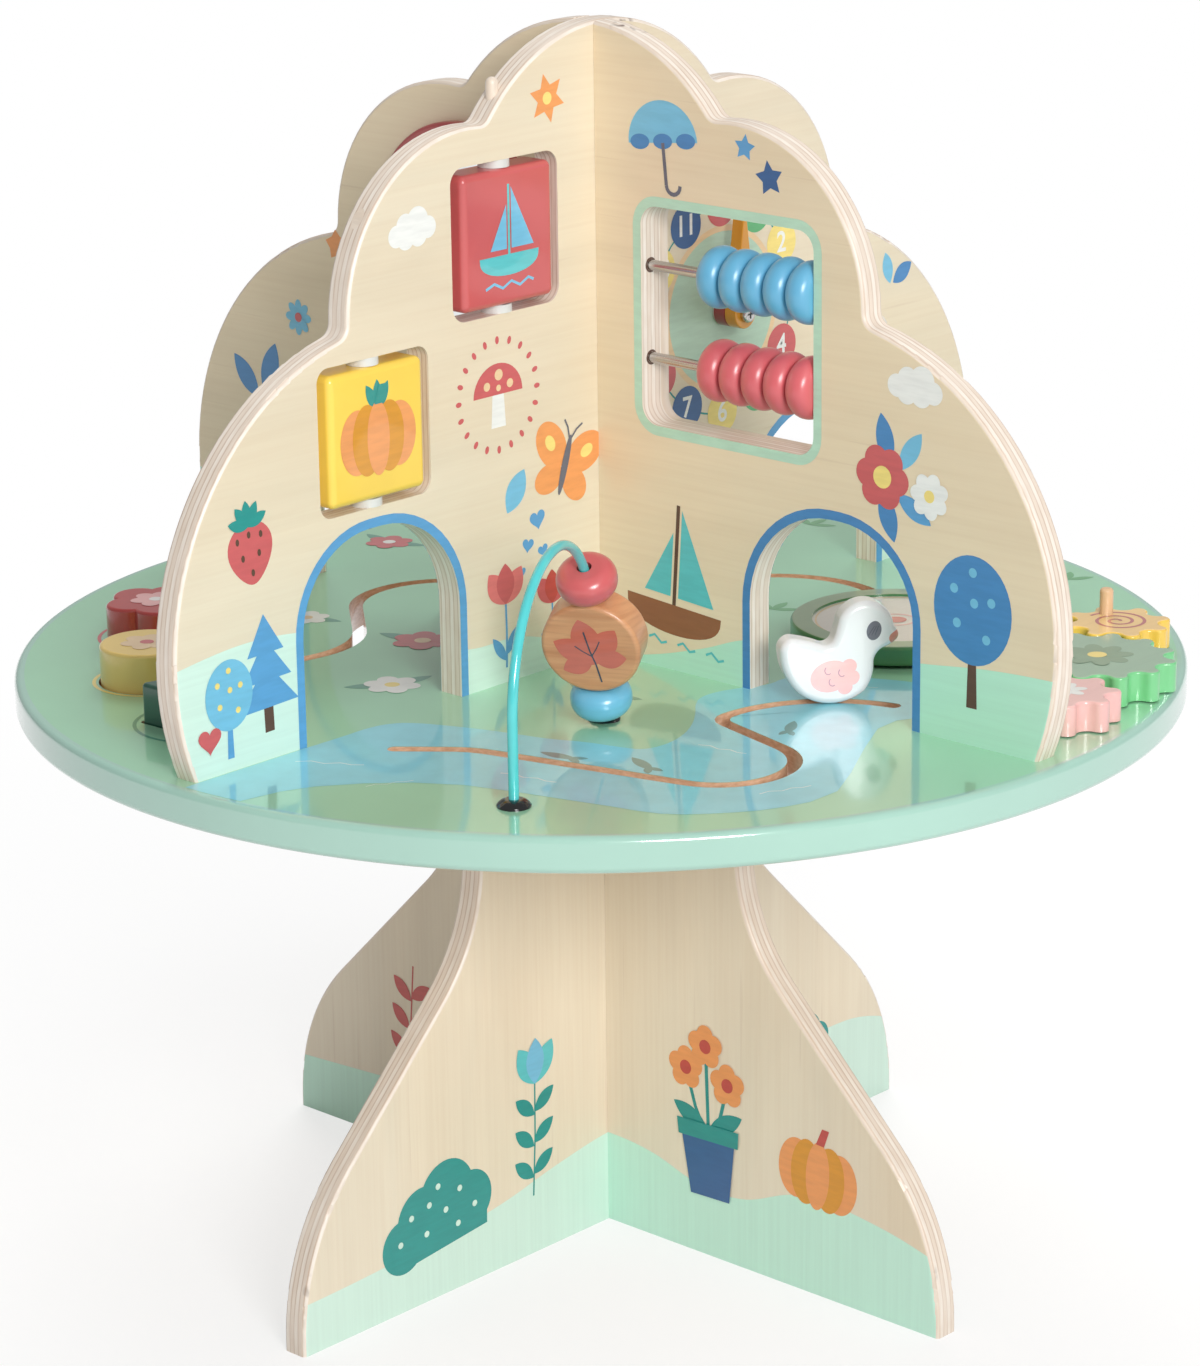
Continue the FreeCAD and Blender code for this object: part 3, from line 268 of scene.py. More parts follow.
def ply_edge(f, depth, streaks):
    """Edge of the board: light plies with soft tan glue lines, and here and there a dark gap."""
    wander = f.maths("MULTIPLY", f.maths("SUBTRACT", f.noise(34.0, 2.0), 0.5), 0.0007)
    layer = f.maths("FRACT", f.maths("ADD", f.maths("DIVIDE", f.maths("ADD", depth, wander), PLY * MM), 10.5))
    away = f.maths("ABSOLUTE", f.maths("SUBTRACT", layer, 0.5))
    glue = f.between(away, 0.05, 0.19, 1.0, 0.0)
    ply_number = f.maths("FLOOR", f.maths("ADD", f.maths("DIVIDE", depth, PLY * MM), 10.0))
    parity = f.maths("FRACT", f.maths("MULTIPLY", ply_number, 0.5))
    cross_ply = f.between(parity, 0.2, 0.3)
    tone = f.blend(cross_ply, paint(244, 234, 222), paint(235, 221, 206))
    fine = f.mottle(streaks, 3.0, 0.35, 0.7)
    tone = f.blend(fine, tone, paint(202, 176, 150), 0.28)
    strength = f.maths("MULTIPLY", glue, f.between(f.noise(25.0, 2.0), 0.3, 0.6, 0.15, 0.55))
    tone = f.blend(strength, tone, paint(184, 148, 118))
    gap = f.mottle(16.0, 1.0, 0.70, 0.73)
    gap = f.maths("MULTIPLY", gap, f.mottle(190.0, 1.0, 0.5, 0.6))
    return f.blend(gap, tone, PAINTS["dark_brown"], 0.8)


def by_axis(values):
    return tuple(values[letter] for letter in "XYZ")


def board(name, thick, along, ground, upright_grain, birch, mint):
    """Panel material: printed birch faces with a mint ground, bare rounded edges showing the plies."""
    f = Finish(name, 0.42, 0.3, 0.25)
    across, lengthwise = (along, "Z") if upright_grain else ("Z", along)
    grain = by_axis({thick: 60.0, across: 560.0, lengthwise: 14.0})
    face = birch_face(f, PAINTS[birch], grain, by_axis({thick: 6.0, across: 30.0, lengthwise: 6.0}))
    edge_of_ground = f.height_line(f.axis(along), -GROUND_REACH * MM, GROUND_REACH * MM, ground)
    is_ground = f.maths("LESS_THAN", f.axis("Z"), edge_of_ground)
    streak = f.mottle(grain)
    printed = f.varied(streak, PAINTS[mint], 0.97, 1.02)
    face = f.blend(is_ground, face, printed)
    depth = f.axis(thick)
    plies = ply_edge(f, depth, by_axis({thick: 700.0, along: 90.0, "Z": 90.0}))
    is_face = f.maths("GREATER_THAN", f.maths("ABSOLUTE", depth), (PANEL_HALF - 0.1) * MM)
    f.bump(grain, 3.0, 0.06, 0.0003)
    return f.coloured(f.blend(is_face, plies, face))


def tabletop_finish():
    """High-gloss printed top, mint rim, brown board inside the cuts and plain birch below."""
    f = Finish("tabletop_finish", 0.30, 1.0, 0.08)
    f.shader.inputs["Coat IOR"].default_value = 1.8
    cloud = f.mottle(14.0, 3.0)
    meadow = f.varied(cloud, PAINTS["meadow"], 0.96, 1.05)
    rim = f.varied(cloud, PAINTS["rim_mint"], 0.97, 1.03)
    fibre = f.mottle((300.0, 300.0, 900.0), 3.0)
    cut = f.blend(fibre, paint(200, 156, 124), paint(228, 190, 158))
    under = birch_face(f, PAINTS["birch"], (420.0, 14.0, 60.0), (26.0, 6.0, 6.0))
    tone = f.blend(f.maths("GREATER_THAN", f.axis("Z"), (TABLE_TOP - 0.05) * MM), cut, meadow)
    tone = f.blend(f.maths("LESS_THAN", f.axis("Z"), (TABLE_UNDERSIDE + 0.05) * MM), tone, under)
    tone = f.blend(f.maths("GREATER_THAN", f.from_middle(), RIM_PAINT_FROM * MM), tone, rim)
    f.bump(9.0, 1.0, 0.05, 0.002)
    return f.coloured(tone)


def bare_wood(name, light, dark, pores, rings):
    """Clear-lacquered wood: soft growth lines one way and fine pores along them."""
    f = Finish(name, 0.36, 0.45, 0.2)
    growth = f.mottle(rings, 2.0, 0.3, 0.7, 0.5)
    tone = f.blend(growth, light, dark)
    fine = f.mottle(pores, 3.0, 0.45, 0.75)
    tone = f.blend(fine, tone, shade(dark, 0.72), 0.35)
    f.bump(pores, 3.0, 0.07, 0.0003)
    return f.coloured(tone)


def bright_steel(name, along):
    """Drawn steel: fine scratches along the rod."""
    f = Finish(name, 0.24, metallic=1.0)
    scratch = f.mottle(along, 3.0)
    f.bump(along, 2.0, 0.05, 0.0001)
    return f.coloured(f.blend(scratch, paint(168, 166, 164), paint(212, 210, 208)))


def moulded(name, colour, roughness, coat=0.0):
    """Moulded plastic with a faint texture."""
    f = Finish(name, roughness, coat)
    tone = f.varied(f.mottle(80.0), colour, 0.94, 1.03)
    f.bump(700.0, 2.0, 0.05, 0.0001)
    return f.coloured(tone)


def two_tone(name, side, top, height):
    """Sawn board toy: painted side, and a printed top from a height over the tabletop upwards; where a top is
    much greyer than its side, as on the green gear and the spinner, that greyness is partly painted
    reflection of the bright room in the gloss.
    """
    f = Finish(name, 0.3, 0.7)
    cloud = f.mottle(26.0, 3.0)
    low = f.varied(cloud, side, 0.92, 1.04)
    high = f.varied(cloud, top, 0.95, 1.03)
    fine = f.mottle((500.0, 24.0, 60.0), 3.0, 0.4, 0.7)
    high = f.blend(fine, high, shade(top, 0.7), 0.12)
    is_top = f.maths("GREATER_THAN", f.axis("Z"), (TABLE_TOP + height) * MM)
    f.bump(60.0, 2.0, 0.1, 0.0003)
    return f.coloured(f.blend(is_top, low, high))


def bird_finish():
    """White paint, coral on the tip of the beak."""
    f = Finish("white_paint", 0.3, 0.7)
    cloud = f.mottle(22.0, 3.0)
    white = f.blend(cloud, paint(230, 231, 231), paint(236, 237, 237))
    turn = math.radians(BIRD_TURN)
    foot = Matrix.Rotation(-turn, 2) @ Vector(BIRD_XY) * MM
    parts = f.node("SeparateXYZ", Vector=f.mapped(turn=(0, 0, -turn), shift=(-foot.x, -foot.y, 0)))
    beak, beak_height, half_long, half_high = (size * MM for size in (26.2, TABLE_TOP + 27.0, 4.2, 3.1))
    along = f.maths("DIVIDE", f.maths("SUBTRACT", parts.outputs["X"], beak), half_long)
    height = f.maths("DIVIDE", f.maths("SUBTRACT", parts.outputs["Z"], beak_height), half_high)
    away = f.maths("ADD", f.maths("MULTIPLY", along, along), f.maths("MULTIPLY", height, height))
    f.bump(60.0, 2.0, 0.1, 0.0003)
    return f.coloured(f.blend(f.maths("LESS_THAN", away, 1.0), white, paint(226, 146, 128)))


def mirror_face():
    """Acrylic mirror with the slight softness of a cheap sheet."""
    f = Finish("mirror_sheet", 0.04, metallic=1.0)
    haze = f.mottle(30.0)
    f.bump(12.0, 1.0, 0.02, 0.002)
    return f.coloured(f.blend(haze, paint(222, 226, 228), paint(236, 238, 240)))


# Top edge of the printed ground on each board: place along the board and height
GROUND_REACH = 260.0
GROUND_UPPER_A = [(-250, 310), (-183, 312), (-87, 283), (-56, 281.5), (-32, 274.5), (-12, 266), (12, 266),
                  (45, 274), (85, 284), (185, 298), (250, 303)]
GROUND_UPPER_B = [(-250, 304), (-180, 300), (-85, 286), (-40, 272), (-8, 264), (8, 264), (28, 266.5),
                  (62, 275.5), (90, 285), (180, 292.5), (215, 296.5), (250, 298)]
GROUND_LOWER_A = [(-200, 23), (-170, 23.5), (-142, 24.6), (-112, 26), (-75, 29.6), (-37, 37), (-4, 41.5),
                  (4, 41.5), (60, 36), (130, 44), (150, 45.2), (172, 43), (200, 33)]
GROUND_LOWER_B = [(-200, 26), (-130, 30), (-60, 34), (-4, 41), (4, 41.5), (31, 39.5), (60, 32), (83, 31.8),
                  (117, 43.2), (156, 42.2), (200, 32)]

STEEL = bright_steel("bright_steel", (900.0, 900.0, 900.0))
ROD_STEEL = bright_steel("rod_steel", (20.0, 900.0, 900.0))
NYLON = moulded("nylon", paint(222, 222, 218), 0.45)
BLACK = moulded("black_plastic", paint(22, 22, 24), 0.12, 0.6)
BEECH = bare_wood("beech", paint(232, 196, 156), paint(214, 172, 130),
                  (700.0, 700.0, 40.0), (160.0, 160.0, 12.0))
TURNED = bare_wood("turned_wood", paint(222, 164, 118), paint(198, 134, 90),
                   (60.0, 60.0, 900.0), (14.0, 14.0, 190.0))
PALE_WOOD = bare_wood("pale_wood", paint(238, 224, 208), paint(226, 206, 184),
                      (60.0, 700.0, 60.0), (12.0, 220.0, 12.0))

GEAR_PAINT_FROM = 12.9
FINISHES = {
    # Painted light: each board takes its own lit or shaded copy of the birch and the mint print.
    "upper_panel_a": board("play_board_a", "X", "Y", GROUND_UPPER_A, False, "pale_birch", "pale_mint"),
    "upper_panel_b": board("play_board_b", "Y", "X", GROUND_UPPER_B, False, "birch", "mint"),
    "lower_panel_a": board("leg_board_a", "X", "Y", GROUND_LOWER_A, True, "leg_birch", "pale_mint"),
    "lower_panel_b": board("leg_board_b", "Y", "X", GROUND_LOWER_B, True, "leg_birch", "leg_mint"),
    "tabletop": tabletop_finish(),
    "abacus_rod_upper": ROD_STEEL,
    "abacus_rod_lower": ROD_STEEL,
    "turning_block_red": painted_wood("red_block_paint", paint(204, 92, 92), 0.3, 0.6),
    "turning_block_yellow": painted_wood("yellow_block_paint", paint(250, 212, 86), 0.3, 0.6),
    "shape_block_red": painted_wood("red_shape_paint", paint(186, 64, 62)),
    "shape_block_yellow": painted_wood("yellow_shape_paint", paint(238, 206, 120)),
    "shape_block_green": painted_wood("green_shape_paint", paint(30, 92, 74)),
    "clock_minute_hand": painted_wood("minute_hand_paint", PAINTS["amber"]),
    "clock_hour_hand": painted_wood("hour_hand_paint", paint(156, 56, 60)),
    "mirror_frame": painted_wood("mirror_frame_paint", paint(178, 74, 74), 0.34, 0.5),
    "mirror": mirror_face(),
    "gear_yellow": two_tone("yellow_gear_paint", paint(246, 202, 88), paint(238, 202, 140), GEAR_PAINT_FROM),
    "gear_pink": two_tone("pink_gear_paint", paint(240, 186, 182), paint(236, 192, 186), GEAR_PAINT_FROM),
    # the top's grey-green is partly painted reflection, over the gear's own muted green
    "gear_green": two_tone("green_gear_paint", paint(124, 206, 142), paint(158, 184, 160), GEAR_PAINT_FROM),
    # the top's grey-green is partly painted reflection, over the spinner's own paint
    "spinner_disc": two_tone("spinner_paint", paint(72, 136, 84), paint(150, 172, 140), 9.6),
    "spinner_inlay": two_tone("inlay_print", paint(214, 204, 192), paint(222, 216, 208), 7.0),
    "bird_figure": bird_finish(),
    "hedgehog_figure": painted_wood("hedgehog_paint", paint(160, 112, 78), 0.32, 0.6),
    "bead_wire": moulded("wire_coating", paint(84, 204, 206), 0.14, 0.6),
    "wire_bead_coral": painted_wood("coral_loop_paint", paint(210, 96, 98), 0.3, 0.6, 20.0, 0.2),
    "wire_bead_blue": painted_wood("blue_loop_paint", paint(112, 188, 220), 0.3, 0.6, 20.0, 0.2),
    "wire_wood_disc": TURNED,
    "gear_crank_peg": BEECH,
    "locating_dowels": BEECH,
}
SLOT_FINISHES = {
    "steel": STEEL,
    "nylon": NYLON,
    "black_collar": BLACK,
    "bare_wood": BEECH,
    "pale_wood": PALE_WOOD,
    "blue_paint": painted_wood("blue_bead_paint", paint(100, 174, 210), 0.34, 0.55, 20.0, 0.24),
    "coral_paint": painted_wood("coral_bead_paint", paint(212, 98, 104), 0.34, 0.55, 20.0, 0.24),
}


# Pieces that show; edges that bend more than this stay sharp
SHARP_FROM = math.radians(32.0)


def piece_from(bm, name, materials, body):
    """Turns a finished mesh into a piece that rides on a body."""
    mesh = bpy.data.meshes.new(name)
    bm.to_mesh(mesh)
    bm.free()
    for material in materials:
        mesh.materials.append(material)
    piece = bpy.data.objects.new(name, mesh)
    bpy.context.scene.collection.objects.link(piece)
    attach(piece, body)
    return piece


def reach_of(vert):
    return math.hypot(vert.co.x, vert.co.y)


def at_rim(item):
    return min(reach_of(vert) for vert in item.verts) > (FLAT_REACH - 0.05) * MM


def open_at_rim(edge):
    return edge.is_boundary and at_rim(edge)


def ends_flat(edge):
    """Whether an edge lies where a flat face of the tabletop meets the rim; there the shading breaks."""
    return max(abs(reach_of(vert) - FLAT_REACH * MM) for vert in edge.verts) < 0.05 * MM


def even_rim(bm):
    """Lays the rounded rim anew in even steps, from the edge of the top to that of the underside."""
    bmesh.ops.delete(bm, geom=[face for face in bm.faces if at_rim(face)], context="FACES")
    edges = [edge for edge in bm.edges if open_at_rim(edge)]
    for part in bmesh.ops.subdivide_edges(bm, edges=edges, cuts=2)["geom_inner"]:
        if isinstance(part, bmesh.types.BMVert):
            part.co.xy *= FLAT_REACH * MM / reach_of(part)
    middle_height = (TABLE_TOP + TABLE_UNDERSIDE) / 2 * MM
    ring = [edge for edge in bm.edges if open_at_rim(edge) and edge.verts[0].co.z > middle_height]
    profile = [(FLAT_REACH + RIM_ROUNDING * math.sin(math.radians(turn)),
                middle + RIM_ROUNDING * math.cos(math.radians(turn)))
               for middle, start in ((TABLE_TOP - RIM_ROUNDING, 0), (TABLE_UNDERSIDE + RIM_ROUNDING, 90))
               for turn in [start + 90 * step / RIM_STEPS for step in range(RIM_STEPS + 1)]]
    reach = FLAT_REACH
    for next_reach, height in profile[1:]:
        made = bmesh.ops.extrude_edge_only(bm, edges=ring)["geom"]
        ring = [part for part in made if isinstance(part, bmesh.types.BMEdge) and part.is_boundary]
        for vert in {vert for edge in ring for vert in edge.verts}:
            vert.co.xy *= next_reach / reach
            vert.co.z = height * MM
        reach = next_reach
    bmesh.ops.remove_doubles(bm, verts=[vert for vert in bm.verts if vert.is_boundary], dist=0.01 * MM)
    bmesh.ops.recalc_face_normals(bm, faces=bm.faces)


def joined_up(node):
    """Stands for a node with its own shape, its loose facets joined so that curves shade smoothly."""
    source = frame["nodes"][node]
    bm = bmesh.new()
    bm.from_mesh(source.data)
    bmesh.ops.remove_doubles(bm, verts=bm.verts, dist=0.002 * MM)
    if node == "tabletop":
        even_rim(bm)
    for face in bm.faces:
        face.smooth = True
        face.material_index = 0
    for edge in bm.edges:
        edge.smooth = edge.calc_face_angle(math.pi) < SHARP_FROM
        if node == "tabletop" and ends_flat(edge):
            edge.smooth = False
    finish = FINISHES.get(node) or SLOT_FINISHES[NODE_SLOT[node]]
    piece = piece_from(bm, node + "_finished", [finish], source["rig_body"])
    weighted = piece.modifiers.new("even_shading", "WEIGHTED_NORMAL")
    weighted.keep_sharp = True
    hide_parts(node)


for node_name in sorted(frame["nodes"]):
    joined_up(node_name)


# Printed shapes: the first layer of ink lies this far proud of its face, and each later one a little more
INK_LIFT = 0.06
LAYER_LIFT = 0.02


class Print:
    """Flat inked shapes on one face, drawn in millimetres and laid just proud of it."""

    def __init__(self, name, origin, right, up, body, slot, glossy=True):
        self.name = name
        self.body = body
        self.slot = slot
        self.glossy = glossy
        self.used = []
        self.bm = bmesh.new()
        right = Vector(right).normalized()
        up = Vector(up).normalized()
        self.normal = right.cross(up)
        face = Matrix((right, up, self.normal)).transposed().to_4x4()
        self.face = Matrix.Translation(Vector(origin) * MM) @ face @ Matrix.Scale(MM, 4)
        self.motif()

    def motif(self, x=0.0, y=0.0, turn=0.0, size=1.0, level=0):
        """Starts a drawing at a place on the face, turned and sized as a whole, over earlier layers."""
        self.level = level
        self.here = Matrix.Translation((x, y, 0)) @ Matrix.Rotation(math.radians(turn), 4, "Z")
        self.here = self.here @ Matrix.Diagonal((size, size, 1, 1))
        return self

    def ink(self, name, faces, verts):
        if name not in self.used:
            self.used.append(name)
        raised = Matrix.Translation((0, 0, INK_LIFT + LAYER_LIFT * self.level))
        bmesh.ops.transform(self.bm, matrix=self.face @ raised @ self.here, verts=verts)
        for face in faces:
            face.normal_update()
            if face.normal.dot(self.normal) < 0:
                face.normal_flip()
            face.material_index = self.used.index(name)
        self.level += 1

    def oval(self, name, x, y, rx, ry=None, turn=0.0, pointed=0.0, corners=40):
        """Ellipse; pointed from 0 to 1 draws its ends out into a leaf."""
        ry = rx if ry is None else ry
        verts = bmesh.ops.create_circle(self.bm, cap_ends=True, radius=1.0, segments=corners)["verts"]
        for vert in verts:
            vert.co.y *= abs(1 - vert.co.x ** 2) ** (0.5 * pointed)
        place = Matrix.Translation((x, y, 0)) @ Matrix.Rotation(math.radians(turn), 4, "Z")
        place = place @ Matrix.Diagonal((rx, ry, 1, 1))
        bmesh.ops.transform(self.bm, matrix=place, verts=verts)
        self.ink(name, list(verts[0].link_faces), verts)

    def leaf(self, name, x, y, length, width, turn):
        """Leaf from its stalk end at x, y."""
        angle = math.radians(turn)
        middle = (x + math.cos(angle) * length / 2, y + math.sin(angle) * length / 2)
        self.oval(name, *middle, length / 2, width / 2, turn, 0.9)

    def patch(self, name, points):
        verts = [self.bm.verts.new((x, y, 0)) for x, y in points]
        self.ink(name, [self.bm.faces.new(verts)], verts)

    def ring(self, name, x, y, outer, inner, corners=72):
        rims = []
        for radius in (outer, inner):
            place = Matrix.Translation((x, y, 0))
            circle = bmesh.ops.create_circle(self.bm, radius=radius, segments=corners, matrix=place)
            rims.append(circle["verts"])
        edges = {edge for rim in rims for vert in rim for edge in vert.link_edges}
        faces = bmesh.ops.bridge_loops(self.bm, edges=list(edges))["faces"]
        self.ink(name, faces, rims[0] + rims[1])

    def ribbon(self, name, points, near, far, closed=False):
        """Band beside a path, from near to far on its left."""
        count = len(points)
        rims = ([], [])
        for i, point in enumerate(points):
            before = points[(i - 1) % count] if closed or i else point
            after = points[(i + 1) % count] if closed or i < count - 1 else point
            way = Vector(after) - Vector(before)
            left = Vector((-way.y, way.x)).normalized()
            for rim, gap in zip(rims, (near, far)):
                rim.append(self.bm.verts.new((*(Vector(point) + left * gap), 0)))
        edges = []
        for rim in rims:
            following = rim[1:] + rim[:1] if closed else rim[1:]
            edges += [self.bm.edges.new(pair) for pair in zip(rim, following)]
        faces = bmesh.ops.bridge_loops(self.bm, edges=edges)["faces"]
        self.ink(name, faces, rims[0] + rims[1])

    def stroke(self, name, points, width):
        self.ribbon(name, points, -width / 2, width / 2)

    def numeral(self, name, words, x, y, height):
        """Printed number, centred."""
        curve = bpy.data.curves.new("numeral", "FONT")
        curve.body = words
        curve.size = height * 1.35
        curve.align_x = "CENTER"
        curve.align_y = "CENTER"
        curve.offset = height * 0.022
        holder = bpy.data.objects.new("numeral", curve)
        bpy.context.scene.collection.objects.link(holder)
        flat = bpy.data.meshes.new_from_object(holder)
        old_verts, old_faces = set(self.bm.verts), set(self.bm.faces)
        self.bm.from_mesh(flat)
        verts = [v for v in self.bm.verts if v not in old_verts]
        faces = [f for f in self.bm.faces if f not in old_faces]
        bpy.data.objects.remove(holder)
        bpy.data.meshes.remove(flat)
        bmesh.ops.transform(self.bm, matrix=Matrix.Translation((x, y, 0)), verts=verts)
        self.ink(name, faces, verts)

    def finish(self):
        materials = [ink(name, self.glossy) for name in self.used]
        piece_from(self.bm, self.name, materials, self.body)


# Motifs, each drawn about its own middle or foot
def daisy(p, petals, heart, count=8, radius=9.0, slim=0.42):
    for i in range(count):
        turn = 360.0 * i / count
        p.oval(petals, *on_circle(radius * 0.58, turn), radius * 0.44, radius * slim * 0.62, turn, corners=24)
    p.oval(heart, 0, 0, radius * 0.27)


def cloud(p, name, width=24.0):
    for x, y, reach in ((-8, 0, 4.2), (-3.2, 3.0, 4.6), (3.2, 3.6, 5.4), (8.2, 0.2, 4.2),
                        (-3.5, -1.6, 4.4), (3, -1.4, 4.6)):
        p.oval(name, *(size * width / 24.0 for size in (x, y, reach)))


def sprig(p, stem, leaf, height, width=11.0):
    """Stem with three pairs of leaves."""
    p.stroke(stem, [(0, 0), (0.6, height * 0.5), (0, height)], 0.9)
    for share in (0.18, 0.44, 0.70):
        y = height * share
        p.leaf(leaf, 0, y, width, width * 0.45, 38)
        p.leaf(leaf, 0, y - 1.5, width, width * 0.45, 142)


def half_oval(half_width, height, steps, foot=0.0):
    return [(x * half_width, foot + y * height) for x, y in arc(1.0, 0, 180, steps)]


def toadstool(p, cap, spots, stalk):
    p.patch(stalk, [(-3.4, -10), (3.4, -10), (2.6, 2), (-2.6, 2)])
    p.patch(cap, half_oval(11.5, 10.5, 20, 1.0))
    for x, y, r in ((-5.2, 4.4, 1.5), (0.4, 7.6, 1.9), (5.6, 4.0, 1.5), (0.2, 3.2, 1.1)):
        p.oval(spots, x, y, r, corners=20)


def star(p, name, outer=9.0, inner=4.6, points=5):
    p.patch(name, [on_circle(inner if i % 2 else outer, 90 - 180 * i / points) for i in range(2 * points)])


def butterfly(p, wing, spot, line):
    for side in (-1, 1):
        p.oval(wing, side * 6.0, 4.0, 6.6, 4.6, side * 38)
        p.oval(wing, side * 4.6, -4.0, 4.9, 3.6, -side * 32)
        p.oval(spot, side * 6.6, 4.4, 2.2, 1.5, side * 38)
    for side in (-1, 1):
        p.stroke(line, [(0, 6), (side * 1.6, 9), (side * 3.2, 10.6)], 0.5)
    p.oval(line, 0, 0, 1.1, 7.4)


def pine(p, leaf, trunk):
    """Tree of three stacked tiers."""
    p.patch(trunk, [(-2, -4), (2, -4), (2, 4), (-2, 4)])
    for y, half, tall in ((4, 13, 15), (13, 10.5, 14), (22, 7.8, 13)):
        p.patch(leaf, [(-half, y), (half, y), (0, y + tall)])


def round_tree(p, crown, dots, trunk):
    p.patch(trunk, [(-1.7, 0), (1.7, 0), (1.2, 16), (-1.2, 16)])
    p.oval(crown, 0, 26, 12.5, 14.5)
    for x, y in ((-5, 22), (4.5, 19), (0.5, 28), (-6, 31), (6, 29), (0, 36)):
        p.oval(dots, x, y, 1.3, corners=16)


def strawberry(p, fruit, seed, leaf):
    points = []
    for x, y in arc(1.0, 0, 350, 35):
        down = (1 - y) / 2
        points.append((9.6 * x * (1 - 0.42 * down ** 2), 9.6 * y - 2.6))
    p.patch(fruit, points)
    for x, y in ((-4.6, 2), (0, 3), (4.6, 2), (-3.2, -3.4), (3.2, -3.4), (0, -8.6)):
        p.oval(seed, x, y, 0.7, 1.1, corners=12)
    for turn in (20, 58, 90, 122, 160):
        p.leaf(leaf, 0, 5.4, 8, 3.6, turn)


def sailing_boat(p, hull, sail, other_sail, mast):
    p.patch(hull, [(15 * x, -7.5 * abs(y) ** 0.7) for x, y in arc(1.0, 0, 180, 20)])
    p.stroke(mast, [(0, 0), (0, 25)], 1.1)
    p.patch(sail, [(1.2, 2), (12.5, 2), (1.2, 24)])
    p.patch(other_sail, [(-1.2, 2), (-9.5, 2), (-1.2, 18)])


def umbrella(p, cloth, stripe, handle):
    p.patch(cloth, half_oval(13, 12, 24))
    for x in (-8.7, 0, 8.7):
        p.oval(stripe, x, 0.4, 3.6, 2.2, corners=24)
    p.stroke(handle, [(0, 0), (0, -12)], 1.2)
    p.stroke(handle, arc(2.6, 180, 356, 8, (2.6, -12)), 1.2)


def tulip(p, flower, heart, stem, leaf, height=26.0):
    p.stroke(stem, [(0, 0), (0.3, height * 0.5), (0, height)], 0.9)
    p.leaf(leaf, 0, height * 0.18, 11, 3.8, 58)
    p.leaf(leaf, 0, height * 0.10, 11, 3.8, 126)
    for lean in (-34, 34, 0):
        p.leaf(flower if lean else heart, 0, height - 2, 14, 8.4, 90 + lean)


def heart_shape(p, name, size=8.0):
    """Heart drawn by the usual sum of cosines."""
    points = []
    for i in range(32):
        a = math.tau * i / 32
        y = 0.81 * math.cos(a) - 0.31 * math.cos(2 * a) - 0.12 * math.cos(3 * a) - 0.06 * math.cos(4 * a)
        points.append((size * math.sin(a) ** 3, size * y))
    p.patch(name, points)


def swirl(p, name, turns=2.4, radius=13.5, width=1.5):
    steps = int(turns * 28)
    p.stroke(name, [on_circle(1.0 + (radius - 1.0) * i / steps, 360 * turns * i / steps)
                    for i in range(steps + 1)], width)


def rain(p, name):
    for row in range(3):
        for i in range(2 + row % 2):
            p.oval(name, (i - (1 + row % 2) / 2) * 5.0, -row * 6.5, 1.0, 2.3, -10, corners=16)


def pumpkin(p, side, middle, stalk):
    for x in (-7.5, 7.5):
        p.oval(side, x, 0, 6.0, 8.6)
    for x in (-4.0, 4.0):
        p.oval(middle, x, 0, 5.2, 9.4)
    p.oval(side, 0, 0, 4.0, 9.8)
    p.patch(stalk, [(-1.2, 9), (1.6, 9), (3.0, 14), (0.6, 14)])


def flower_pot(p, pot, band, bloom, heart, leaf):
    blooms = ((-7, 25), (7, 23), (0, 32))
    for x, y in blooms:
        p.stroke(leaf, [(0, 6), (x * 0.6, y * 0.6), (x, y)], 1.1)
    p.leaf(leaf, 0, 9, 13, 5, 28)
    p.leaf(leaf, 0, 9, 13, 5, 152)
    for x, y in blooms:
        for i in range(5):
            p.oval(bloom, *on_circle(3.1, 72 * i + 17.2, (x, y)), 2.7, corners=20)
        p.oval(heart, x, y, 1.9, corners=20)
    p.patch(pot, [(-9, 8), (9, 8), (6.5, -9), (-6.5, -9)])
    p.patch(band, [(-10.4, 11), (10.4, 11), (10, 6.5), (-10, 6.5)])


def bush(p, leaf, dots):
    for x, y, r in ((-13, -2, 8), (-5, 3, 9.5), (5, 6, 10.5), (13.5, 1, 8.5)):
        p.oval(leaf, x, y, r)
    p.patch(leaf, [(-17, -8.8), (19, -8.8), (20, -1), (-18, 2)])
    for x, y in ((-14, -1), (-9, 5), (-4, -2), (2, 10), (4, 2), (10, 6), (15, -1), (-2, 6), (8, -4)):
        p.oval(dots, x, y, 0.95, corners=14)


# Outlines that the prints follow: an arch is given by its inner foot, its outer foot and its top
ARCH_A = (90.9, 179.3, 346.0)
ARCH_B = (90.0, 176.0, 343.8)


def arch_path(near, far, top, side):
    """Edge of an arch from its inner foot over to its outer foot."""
    inner_r, outer_r = 43.0, 38.0
    points = [(near, TABLE_TOP)]
    points += arc(inner_r, 180, 90, 12, (near + inner_r, top - inner_r))
    points += arc(outer_r, 90, 0, 12, (far - outer_r, top - outer_r))
    points.append((far, TABLE_TOP))
    return [(side * s, z) for s, z in points]


def arch_stripes(p, name, near, far, top):
    """Painted band round the two arches of a face."""
    for side in (-1, 1):
        p.motif()
        p.ribbon(name, arch_path(near, far, top, side), 0.0, 4.0 * side)


